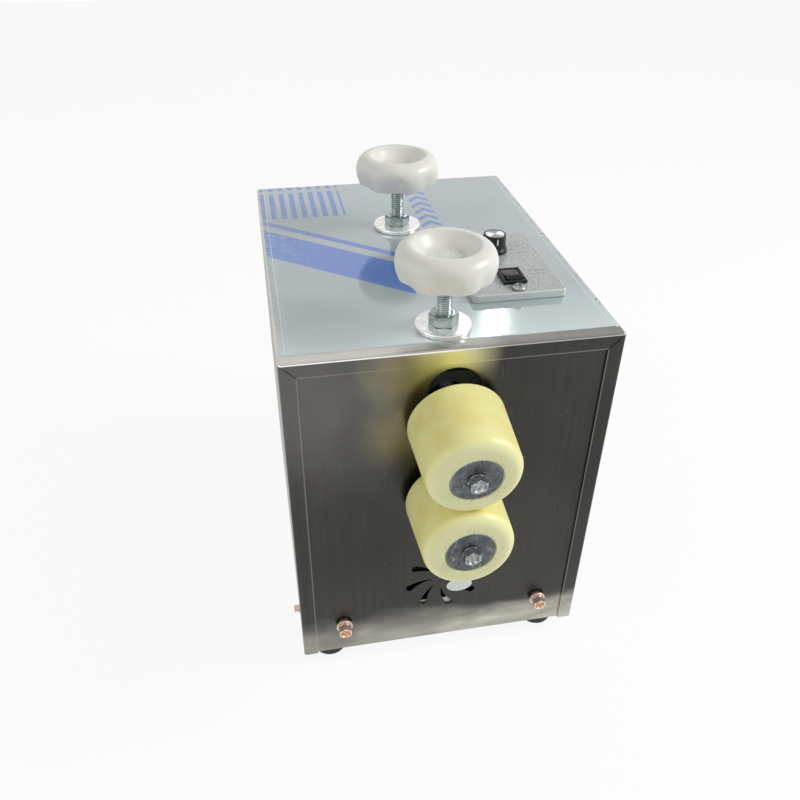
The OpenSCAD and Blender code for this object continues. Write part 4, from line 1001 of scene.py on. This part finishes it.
class WRAPPER_OT_sticker(Operator):
    """Sticks the blank oval label on the front panel"""
    bl_idname = "wrapper.sticker"
    bl_label = "Blank sticker"

    def execute(self, context):
        half_wide, half_high, right, up = 9.5, 6.5, 12.0, 53.0
        disc = lathe([(0, 0), (1, 0), (1, 0.1, 0.06), (0, 0.12)], 72, 3)
        disc = disc * np.array([half_wide, half_high, 1.0])
        grid = placed(disc, (right, PANEL_FACE, CASE_LO[2] + up), (0, -1, 0))
        show(mesh_of("oval_sticker", [grid]), [stuck_paper(context.scene.wrapper_case)], "frame")
        return {"FINISHED"}


class WRAPPER_OT_gland(Operator):
    """Screws the cable gland into the rear panel"""
    bl_idname = "wrapper.gland"
    bl_label = "Cable gland"

    def execute(self, context):
        lo, hi = corners_of("cable_gland")
        origin = ((lo[0] + hi[0]) / 2, REAR_FACE, (lo[2] + hi[2]) / 2)
        reach = hi[1] - REAR_FACE
        top, inner, grooves = GLAND_FLANGE, 0.36, 12
        flange = hexagon(GLAND_FLATS, [(inner, 0, 0), (1, 0, 0), (1, 0.4, -1), (1, top, 1), (1, top, 0),
                                       (inner, top, 0)])
        # Clamping dome: grooves that fade towards its nose
        angle = np.linspace(0, FULL_TURN, 145)[:, None]
        profile = fillet([(GLAND_THREAD, top), (10.9, top, 0.3), (10.6, 11, 1), (7.4, reach, 1.2),
                          (4.6, reach, 0.5), (4.2, reach - 1.5, 0.3), (GLAND_BORE, reach - 1.5),
                          (GLAND_BORE, GLAND_TAIL)])
        groove = 0.45 * smooth(np.cos(grooves * angle), 0.2, 0.9) * smooth(profile[:, 0], 8.0, 10.0)
        dome = turned(angle, profile[:, 0] - groove, profile[:, 1])
        stub = lathe([(GLAND_BORE, GLAND_TAIL), (GLAND_THREAD, GLAND_TAIL, 0.6), (GLAND_THREAD, 0.2),
                      (GLAND_THREAD, top)], 48)
        grids = [placed(grid, origin, (0, 1, 0)) for grid in (flange, dome, stub)]
        plastic = black_plastic(context)
        show(mesh_of("gland_body", grids), [plastic], "frame", ["cable_gland"])
        clad("gland_nut", "gland_locknut", plastic, 0.4)
        return {"FINISHED"}


# Pieces of the rolling head


def along_rollers():
    """Each roller's name prefix, body, origin on the front face and direction out of the front."""
    for name in ("lower", "upper"):
        origin, axis = spindle(name + "_spin")
        yield name, name + "_roll", origin, axis * -np.sign(axis[1])


def lower_span(node):
    """Start and end along the lower axis, towards the front, and radius of a node that turns on it."""
    lo, hi = corners_of(node)
    face = spindle("lower_spin")[0][1]
    return face - hi[1], face - lo[1], (hi[0] - lo[0]) / 2


def along_and_out(mesh, origin, axis):
    """How far each point of a mesh lies along an axis and out from it, in millimetres."""
    arm = read_from(mesh.vertices, "co", 3) / MM - origin
    return arm @ axis, np.linalg.norm(np.cross(arm, axis), axis=1)


class WRAPPER_OT_rollers(Operator):
    """Turns the two conical rollers with their washer recesses"""
    bl_idname = "wrapper.rollers"
    bl_label = "Rollers"

    def execute(self, context):
        rolls = context.scene.wrapper_rollers
        back, front, radius = lower_span("lower_roller")
        floor, _, washer = lower_span("lower_washer")
        recess = washer + 0.4
        lower, upper = (axis for *_, axis in along_rollers())
        taper = math.tan(math.acos(np.clip(lower @ upper, -1, 1)) / 2)
        tip = radius - (front - back) * taper
        skin = lathe([(ROLLER_BORE, back), (radius, back, rolls.back_edge / MM),
                      (tip, front, rolls.front_edge / MM), (recess + 4, front), (recess, front, 0.5),
                      (recess, floor, 0.3), (ROLLER_BORE, floor), (ROLLER_BORE, back)], 180, 10)
        nylon = cast_nylon(rolls)
        for name, body, origin, axis in along_rollers():
            mesh = mesh_of(name + "_roll_skin", [placed(skin, origin, axis)])
            along, out = along_and_out(mesh, origin, axis)
            ring = smooth(along, front - 2, front) * (1 - smooth(out, recess + 1, recess + 6))
            point_layer(mesh, "faced", 0.75 * smooth(along, front - 5, front - 0.5))
            point_layer(mesh, "ring", ring)
            show(mesh, [nylon], body, [name + "_roller"], 50)
        return {"FINISHED"}


class WRAPPER_OT_roller_fasteners(Operator):
    """Fastens the rollers: dark end washers, spring washers and hexagon bolts"""
    bl_idname = "wrapper.roller_fasteners"
    bl_label = "Roller fasteners"

    def execute(self, context):
        rolls = context.scene.wrapper_rollers
        back, face, radius = lower_span("lower_washer")
        tip = lower_span("lower_bolt")[1]
        seat = face + BOLT_COIL
        bore, shank, depth = 3.1, 2.95, 22
        dark = phosphated_steel(rolls)
        bright = plated("steel_zinc_bolt", rolls.bolt, linear("#6e7274"), 1.8, (0.2, 0.42))
        disc = lathe([(bore, back), (radius, back, 0.3), (radius, face, 0.45), (bore, face), (bore, back)])
        bolt = [spring_washer(5.5, 3.2, BOLT_COIL, 0.4) + UP * face,
                hex_head(BOLT_FLATS, tip - seat, 1.2, 0.76) + UP * seat, pin(shank, face - depth, seat, 40)]
        for name, body, origin, axis in along_rollers():
            mesh = mesh_of(name + "_end_washer", [placed(disc, origin, axis)])
            _, out = along_and_out(mesh, origin, axis)
            # The outer half millimetre, where the lip's painted highlight goes
            point_layer(mesh, "lip", smooth(out, radius - 0.5, radius - 0.1))
            show(mesh, [dark], body, [name + "_washer"])
            grids = [placed(grid, origin, axis) for grid in bolt]
            show(mesh_of(name + "_hex_bolt", grids), [bright], body, [name + "_bolt"])
        return {"FINISHED"}


# Adjusters


def threaded_rod(radius, pitch, depth, low, high, lead=1.5):
    """A right-hand thread: the radius less the depth times a trapezium wave of z / pitch - angle / turn.

    The wave fades over a short lead at both ends, which are closed to the axis.
    """
    angle = np.linspace(0, FULL_TURN, 49)[:, None]
    z = np.linspace(low, high, int((high - low) / pitch * 10) + 1)[None]
    wave = np.abs((z / pitch - angle / FULL_TURN) % 1 - 0.5) * 2
    cut = depth * smooth(wave, 0.12, 0.9)
    chamfer = depth * np.maximum(smooth(z, high - lead, high), 1 - smooth(z, low, low + lead))
    r = radius - np.maximum(cut, chamfer)
    r = np.concatenate([0 * r[:, :1], r, 0 * r[:, :1]], 1)
    z = np.concatenate([z[:, :1], z, z[:, -1:]], 1)
    return turned(angle, r, z)


class WRAPPER_OT_adjusters(Operator):
    """Makes both adjusters: threaded rod, lock nut and wide washer"""
    bl_idname = "wrapper.adjusters"
    bl_label = "Rods, nuts and washers"

    def execute(self, context):
        adjust = context.scene.wrapper_adjusters
        zinc = plated("steel_zinc_plated", adjust.zinc, linear("#dfe2df"), 7.0, (0.16, 0.26), 0.75)
        grey = plated("steel_zinc_passivated", linear("#b3bdbc"), linear("#94a09f"), 6.0, (0.14, 0.25))
        lo, hi = corners_of("top_washers")
        nut_lo, nut_hi = corners_of("lock_nuts")
        bore, thread, (wide, _, thick) = 5.5, 10.1, (hi - lo) * (0.5, 0.5, 1.0)
        disc = lathe([(bore, 0), (wide, 0, 0.35), (wide, thick, 0.7), (bore, thick, 0.3), (bore, 0)])
        block = nut(NUT_FLATS, nut_hi[2] - nut_lo[2], thread, NUT_TURN)
        places = [spindle(end + "_knob_spin")[0] for end in ENDS]
        for end, place in zip(ENDS, places):
            rod_lo, rod_hi = corners_of(end + "_rod")
            rod = threaded_rod((rod_hi[0] - rod_lo[0]) / 2, adjust.pitch / MM, adjust.thread / MM, rod_lo[2],
                               rod_hi[2])
            mesh = mesh_of(end + "_threaded_rod", [placed(rod, at_height(place, 0))])
            show(mesh, [grey], end + "_adjuster", [end + "_rod"], 60)
        washers = [placed(disc, at_height(place, lo[2])) for place in places]
        nuts = [placed(block, at_height(place, nut_lo[2])) for place in places]
        show(mesh_of("wide_washers", washers), [zinc], "frame", ["top_washers"])
        show(mesh_of("hex_lock_nuts", nuts), [grey], "frame", ["lock_nuts"])
        return {"FINISHED"}


def knob_profile(radius, high, dish, level=10.0, crest=21.3, step=0.4):
    """Half section of a hand knob: flat base, full side, broad round rim, dish with a flat middle.

    Below its widest level the side leans in by the square of the way down. Above, it is a quarter of an
    ellipse up to the crest, and the dish falls from there to the flat by half a cosine wave.
    """
    down = np.linspace(1, 0, 12)[:-1]
    lower = np.stack([radius - 1.9 * down ** 2, level * (1 - 0.86 * down)], -1)
    turn = np.linspace(0, QUARTER, 20)
    upper = np.stack([crest + (radius - crest) * np.cos(turn), level + (high - level) * np.sin(turn)], -1)
    share = np.linspace(0, 1, 26)[1:, None]
    well = np.hstack([crest + (KNOB_FLAT - crest) * share, high - dish * (1 - np.cos(math.pi * share)) / 2])
    base = fillet([(KNOB_BORE, 0), (radius - 2.3, 0, 1.0), lower[0]])
    floor = high - dish - step
    edge = np.array([(KNOB_FLAT - 0.5, floor + 0.05), (KNOB_FLAT - 1.2, floor)])
    disc = np.stack([np.linspace(KNOB_FLAT - 2, 0, 12), np.full(12, floor)], -1)
    return np.vstack([base, lower[1:], upper, well, edge, disc])


class WRAPPER_OT_hand_knobs(Operator):
    """Moulds the two white dished hand knobs with soft scallops"""
    bl_idname = "wrapper.hand_knobs"
    bl_label = "Hand knobs"

    def execute(self, context):
        adjust = context.scene.wrapper_adjusters
        nylon = moulded_nylon(adjust)
        dish, socket_depth = adjust.dish / MM, 9.1
        angle = np.linspace(0, FULL_TURN, 169)[:, None]
        socket = lathe([(KNOB_BORE, 0), (KNOB_BORE, socket_depth), (0, socket_depth)], 40)
        for end in ENDS:
            place = spindle(end + "_knob_spin")[0]
            lo, hi = corners_of(end + "_knob")
            radius = place[0] - lo[0]
            r, z = knob_profile(radius, hi[2] - lo[2], dish).T
            # Scallops are deepest at the foot of the side and fade out towards the rim
            lobes = (0.5 + 0.5 * np.cos(adjust.lobes * angle)) ** 1.5
            cut = adjust.scallop / MM * lobes * smooth(r, radius - 9, radius - 3) * (1 - smooth(z, 5, 17))
            grids = [placed(grid, at_height(place, lo[2])) for grid in (turned(angle, r - cut, z), socket)]
            mesh = mesh_of(end + "_hand_knob", grids)
            along, out = along_and_out(mesh, at_height(place, hi[2] - dish), UP)
            middle = 1 - smooth(out, KNOB_FLAT - 0.7, KNOB_FLAT)
            point_layer(mesh, "disc", middle * smooth(along, -1.8, -1.0))
            show(mesh, [nylon], end + "_adjuster", [end + "_knob"], 60)
        return {"FINISHED"}


# Controls


class WRAPPER_OT_control_plate(Operator):
    """Lays the hammered control plate with its screws and its ring of ticks"""
    bl_idname = "wrapper.control_plate"
    bl_label = "Control plate"

    def execute(self, context):
        controls = context.scene.wrapper_controls
        lo, hi = corners_of("control_plate")
        middle = (lo + hi) / 2
        width, depth, high = hi - lo
        edge = controls.plate_edge / MM
        turn = np.linspace(0, QUARTER, 6)
        lip = [(edge - edge * math.cos(a), high - edge + edge * math.sin(a)) for a in turn]
        rows = [(None, 0), (0.4, 0), (0, 0.4)] + lip + [(edge + 2, high), (edge + 10, high), (None, high)]
        mesh = mesh_of("hammered_plate", [placed(raised(width, depth, 3.0, rows), at_height(middle, lo[2]))])
        piece = show(mesh, [hammered_paint(controls)], "frame", ["control_plate"])
        screw_lo, screw_hi = corners_of("plate_screws")
        hole, shank, reach = 2.25, 2.0, 9
        spots = [(middle[0], y, hi[2]) for y in (screw_lo[1] + PAN_RADIUS, screw_hi[1] - PAN_RADIUS)]
        drilled(piece, control_cutters(hi[2], reach) + [rod_cutter(spot, hole, reach) for spot in spots])
        metal = plated("steel_zinc_screw", linear("#b7bbb9"), linear("#737977"), 1.4, (0.18, 0.34))
        screw = cross_head(PAN_RADIUS, 1.0, 3.0) + [pin(shank, screw_lo[2] - hi[2], 0.1, 24)]
        grids = [placed(grid, spot) for spot in spots for grid in screw]
        show(mesh_of("pan_screws", grids), [metal], "frame", ["plate_screws"], 60)
        # Eleven ticks over three hundred degrees, open towards the switch
        dial = at_height(spindle("speed_turn")[0], hi[2])
        ring, thick = 12.6, 0.05
        tick, dash = bar(0.7, 3.2, 0.3, 0, thick), bar(1.5, 0.9, 0.2, 0, thick)
        marks = []
        for angle in np.radians(np.linspace(-60, 240, 11)):
            out = np.array([math.cos(angle), math.sin(angle), 0])
            marks.append(dial + ring * out + tick @ np.stack([np.cross(UP, out), out, UP]))
        # Plain dashes in short files beside the dial and the switch
        for x, y, count in ((15.5, 6.0, 3), (15.5, -6.0, 4), (14.5, -34.0, 5), (14.5, -39.0, 5)):
            marks += [placed(dash, dial + (x + 2.3 * number, y, 0)) for number in range(count)]
        ink = moulded_plastic("ink_screen_printed", linear("#7a8082"), 0.5)
        show(mesh_of("dial_ticks", marks), [ink], "frame")
        return {"FINISHED"}


def rocker_profile(radius, mid, end, hollow=0.22, steps=10):
    """Side view of the rocker: a round belly and two slightly hollow faces that meet in a shallow V."""
    top = math.asin(end / radius)
    belly = np.linspace(math.pi - top, FULL_TURN + top, 40)
    round_part = radius * np.stack([np.cos(belly), np.sin(belly)], -1)
    share = np.linspace(0, 1, steps)[1:, None]
    right = round_part[-1] + (np.array([0, mid]) - round_part[-1]) * share
    right[:, 1] -= hollow * np.sin(math.pi * share[:, 0])
    left = right[::-1] * np.array([-1, 1])
    return np.vstack([round_part, right, left[1:], round_part[:1]])


class WRAPPER_OT_switch(Operator):
    """Sets the rocker switch in the control plate: frame and leaning rocker"""
    bl_idname = "wrapper.switch"
    bl_label = "Rocker switch"

    def execute(self, context):
        lo, hi = corners_of("switch_body")
        plate = corners_of("control_plate")[1][2]
        width, depth = (hi - lo)[:2]
        foot, high, well = lo[2] - plate, hi[2] - plate, -7.9
        rows = [(None, foot), (1.2, foot), (1.2, 0), (0.0, 0), (0.0, high - 0.9), (0.25, high - 0.3),
                (0.8, high), (1.5, high - 0.1), (2.2, high - 1.0), (2.2, well), (None, well)]
        grid = placed(raised(width, depth, 0.8, rows), at_height((lo + hi) / 2, plate))
        plastic = black_plastic(context)
        show(mesh_of("switch_frame", [grid]), [plastic], "frame", ["switch_body"])
        rock_lo, rock_hi = corners_of("rocker")
        half = (rock_hi[0] - rock_lo[0]) / 2
        mid = 1.8
        side = rocker_profile(ROCKER_RADIUS, mid, mid + ROCKER_RADIUS * math.tan(-ROCKER_LEAN) - 0.4)
        # Across its width the side view draws in a little at both ends, which are closed
        inset = np.array([0, 0, 0.25, 0.7])
        along = np.concatenate([inset - half, (half - inset)[::-1]])[:, None]
        scale = np.array([0, 0.94, 0.985, 1, 1, 0.985, 0.94, 0])[:, None]
        y, z = scale * side[:, 0], scale * side[:, 1]
        cos, sin = math.cos(ROCKER_LEAN), math.sin(ROCKER_LEAN)
        grid = np.stack([along + 0 * y, y * cos - z * sin, y * sin + z * cos], -1)
        grid = placed(grid, spindle("rocker_press")[0])
        gloss = moulded_plastic("abs_moulded_black_gloss", context.scene.wrapper_controls.plastic, 0.27, 1.2)
        show(mesh_of("rocker_cap", [grid]), [gloss], "rocker_button", ["rocker"], 50)
        return {"FINISHED"}


class WRAPPER_OT_speed_knob(Operator):
    """Moulds the fluted speed knob with its turned cap and index line"""
    bl_idname = "wrapper.speed_knob"
    bl_label = "Speed knob"

    def execute(self, context):
        controls = context.scene.wrapper_controls
        place = spindle("speed_turn")[0]
        lo, hi = corners_of("speed_knob")
        cap_lo, cap_hi = corners_of("knob_cap")
        skirt, high = (hi[0] - lo[0]) / 2, hi[2] - lo[2]
        disc, thick = (cap_hi[0] - cap_lo[0]) / 2, cap_hi[2] - cap_lo[2]
        hollow, bush, well = 6.4, 3.05, disc + 0.1
        r, z = fillet([(hollow, 0), (skirt, 0, 0.3), (skirt, 2.1, 0.7), (8.1, 3.2, 0.5), (7.8, high, 0.5),
                       (well, high, 0.25), (well, high - 0.8), (0, high - 0.8)]).T
        angle = np.linspace(0, FULL_TURN, 10 * controls.flutes + 1)[:, None]
        wave = smooth(np.cos(controls.flutes * angle), -0.2, 0.8)
        reach = smooth(z, 2.8, 4.2) * (1 - smooth(z, high - 1.2, high - 0.5)) * (r > disc + 0.5)
        skin = turned(angle, r - controls.flute / MM * wave * reach, z)
        pocket = lathe([(hollow, 0), (hollow, 5), (bush, 5), (bush, 9.6), (0, 9.6)], 40)
        grids = [placed(grid, at_height(place, lo[2])) for grid in (skin, pocket)]
        plastic = black_plastic(context)
        show(mesh_of("fluted_knob", grids), [plastic], "speed_dial", ["speed_knob"], 45)
        face = lathe([(0, 0), (disc, 0, 0.1), (disc, thick, 0.25), (0.4 * disc, thick - 0.12, 0.5),
                      (0, thick - 0.16)], 72, 4)
        mesh = mesh_of("turned_cap", [placed(face, at_height(place, cap_lo[2]))])
        show(mesh, [turned_aluminium(controls)], "speed_dial", ["knob_cap"])
        line = placed(bar(0.9, 0.16, 0.05, 4.4, high - 1.2), (place[0], place[1] - 7.9, lo[2]))
        white = moulded_plastic("enamel_filled_white", linear("#e6e6e2"), 0.4)
        show(mesh_of("index_line", [line]), [white], "speed_dial")
        return {"FINISHED"}


# Inside


class WRAPPER_OT_inner_works(Operator):
    """Winds the lift springs and gives each inner piece its finish"""
    bl_idname = "wrapper.inner_works"
    bl_label = "Inner works"

    def execute(self, context):
        drawn = plated("steel_spring_drawn", linear("#8f9498"), linear("#5f6467"), 3.0, (0.25, 0.4))
        wire_size, coil_radius = 1.6, 5.7
        # Five turns: the first and the last lie closed, the three between are open
        turns = np.linspace(0, 5, 181)
        height = 0.8 + np.interp(turns, [0, 1, 4, 5], [0, 1.65, 10.65, 12.3])
        coil = tube(*ring_path(coil_radius, turns * FULL_TURN, height),
                    outline(wire_size, wire_size, wire_size / 2, 4))
        for end in ENDS:
            lo, hi = corners_of(end + "_lift_spring")
            middle = (lo + hi) / 2
            mesh = mesh_of(end + "_coil_spring", [placed(coil, at_height(middle, lo[2]))])
            piece = show(mesh, [drawn], None, [end + "_lift_spring"])
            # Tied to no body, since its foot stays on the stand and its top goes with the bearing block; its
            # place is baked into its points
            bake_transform(piece)
        finishes = (
            (painted_iron("iron_cast_painted", linear("#4b5157")), "front_stand rear_stand stand_caps"),
            # The bearing blocks are painted much paler than blackened iron: painted light inside the shaded
            # slot
            (painted_iron("iron_cast_blackened", linear("#8b8f92"), 1.2, 0.3, (0.3, 0.42)),
             "front_block rear_block"),
            (plated("steel_ground_oiled", linear("#77797b"), linear("#484a4c"), 6.0, (0.32, 0.5)),
             "lower_shaft upper_shaft output_shaft fan_shaft tie_rods"),
            (plated("steel_bearing_polished", linear("#c5c8c9"), linear("#94989a"), 8.0, (0.12, 0.24)),
             "lower_bearings upper_bearings"),
            (plated("steel_hobbed_oiled", linear("#8f8b80"), linear("#565349"), 2.5, (0.28, 0.45)),
             "lower_gear upper_gear drive_gear drive_pinion"),
            (painted_iron("steel_blackened_screws", linear("#3b3c3f"), 1.0, 0.8, (0.35, 0.5)),
             "cap_screws stand_screws tie_screws motor_bolts"),
            (painted_iron("enamel_motor_grey", linear("#3a4347"), 2.0), "motor"),
            (painted_iron("aluminium_die_cast", linear("#8d9396"), 1.4, 0.9), "gearhead"),
            (moulded_plastic("polycarbonate_moulded_green", linear("#2f4a3a"), 0.45), "speed_controller"),
            (plated("brass_nickel_plated", linear("#c9c8c2"), linear("#96948c"), 3.0),
             "speed_pot foot_screws foot_nuts"),
            (moulded_plastic("polypropylene_moulded_black", linear("#26282b"), 0.45), "cooling_fan"),
            (moulded_plastic("polypropylene_moulded_ivory", linear("#ddd6c3"), 0.4), "capacitor"),
        )
        for surface, nodes in finishes:
            for node in nodes.split():
                for slot in frame["nodes"][node].material_slots:
                    slot.material = surface
        return {"FINISHED"}


# Stage


def lamp(name, place, aim, size, power):
    """A square soft light at a place, in metres, turned to an aim."""
    light = bpy.data.lights.new(name, "AREA")
    light.size = size
    light.energy = power
    holder = bpy.data.objects.new(name, light)
    back = np.array(place, float) - np.array(aim)
    back /= np.linalg.norm(back)
    right = np.cross(UP, back)
    right /= np.linalg.norm(right)
    basis = np.column_stack([right, np.cross(back, right), back])
    holder.matrix_world = Matrix.Translation(place) @ Matrix(basis.tolist()).to_4x4()
    bpy.context.scene.collection.objects.link(holder)


def photo_camera(lens, spot, yaw, pitch, roll):
    """A camera at a spot in millimetres, turned right by a yaw, down by a pitch and by a roll in degrees."""
    camera = bpy.data.cameras.new("photo_view")
    camera.lens = lens
    camera.sensor_width = 36
    camera.clip_start = 0.01
    yaw, pitch, roll = np.radians([yaw, pitch, roll])
    ahead = np.array([math.sin(yaw) * math.cos(pitch), math.cos(yaw) * math.cos(pitch), -math.sin(pitch)])
    right = np.array([math.cos(yaw), -math.sin(yaw), 0])
    up = np.cross(right, ahead)
    right, up = math.cos(roll) * right + math.sin(roll) * up, math.cos(roll) * up - math.sin(roll) * right
    holder = bpy.data.objects.new("photo_view", camera)
    turn = Matrix(np.column_stack([right, up, -ahead]).tolist()).to_4x4()
    holder.matrix_world = Matrix.Translation(np.array(spot) * MM) @ turn
    bpy.context.scene.collection.objects.link(holder)
    bpy.context.scene.camera = holder


class WRAPPER_OT_stage(Operator):
    """Sets the pale floor, the soft light and the camera"""
    bl_idname = "wrapper.stage"
    bl_label = "Stage"

    def execute(self, context):
        scene = context.scene
        stage = scene.wrapper_stage
        scene.view_settings.view_transform = "Standard"
        spread = np.linspace(-3000, 3000, 13)
        x, y = np.meshgrid(spread, spread, indexing="ij")
        mesh = mesh_of("floor", [np.stack([x, y, 0 * x], -1)])
        mesh.materials.append(pale_floor(stage.floor))
        floor = bpy.data.objects.new("floor", mesh)
        scene.collection.objects.link(floor)
        world = bpy.data.worlds.new("studio")
        world.use_nodes = True
        scene.world = world
        node = partial(add, world.node_tree)
        strength = node("MapRange", seen_directly(node), 0.0, 1.0, stage.sky, 1.0)
        wire(world.node_tree.nodes["Background"], {"Color": (1, 1, 1, 1), "Strength": strength})
        middle = (0, 0, 0.16)
        lamp("key_light", (1.25, -0.3, 1.05), middle, 0.5, stage.key)
        lamp("fill_light", (-1.1, -0.5, 0.9), middle, 1.1, stage.fill)
        # A small lamp whose reflection is the bright spot on the film
        lamp("hot_spot", (0.397, 0.986, 0.92), (0.031, -0.086, 0.2757), 0.026, stage.lamp)
        # The photograph's camera, solved on the corners of the case
        spot = (-108.62, CASE_LO[1] - 378.006, CASE_LO[2] + 500.81)
        photo_camera(stage.lens, spot, 11.114, 35.441, 0.680)
        return {"FINISHED"}


OPERATORS = (WRAPPER_OT_stage, WRAPPER_OT_case_cover, WRAPPER_OT_panels, WRAPPER_OT_film,
             WRAPPER_OT_case_screws, WRAPPER_OT_feet, WRAPPER_OT_sticker, WRAPPER_OT_gland,
             WRAPPER_OT_rollers, WRAPPER_OT_roller_fasteners, WRAPPER_OT_adjusters, WRAPPER_OT_hand_knobs,
             WRAPPER_OT_control_plate, WRAPPER_OT_switch, WRAPPER_OT_speed_knob, WRAPPER_OT_inner_works)


class WRAPPER_PT_dressing(Panel):
    """Lists the steps of the dressing and their settings"""
    bl_idname = "WRAPPER_PT_dressing"
    bl_label = "Dumpling wrapper machine"
    bl_space_type = "VIEW_3D"
    bl_region_type = "UI"
    bl_category = "Wrapper"

    def draw(self, context):
        for step in OPERATORS:
            self.layout.operator(step.bl_idname)
        for name, group in SETTINGS.items():
            box = self.layout.box()
            for key in group.__annotations__:
                box.prop(getattr(context.scene, name), key)


CLASSES = (*SETTINGS.values(), *OPERATORS, WRAPPER_PT_dressing)


def register():
    """Registers the classes and hangs the settings on the scene."""
    for kind in CLASSES:
        bpy.utils.register_class(kind)
    for name, group in SETTINGS.items():
        setattr(bpy.types.Scene, name, PointerProperty(type=group))


def unregister():
    """Takes the settings and the classes away again."""
    for name in SETTINGS:
        delattr(bpy.types.Scene, name)
    for kind in reversed(CLASSES):
        bpy.utils.unregister_class(kind)


def main():
    """Registers the add-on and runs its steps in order."""
    register()
    for step in OPERATORS:
        group, name = step.bl_idname.split(".")
        getattr(getattr(bpy.ops, group), name)()


if __name__ == "__main__":
    main()
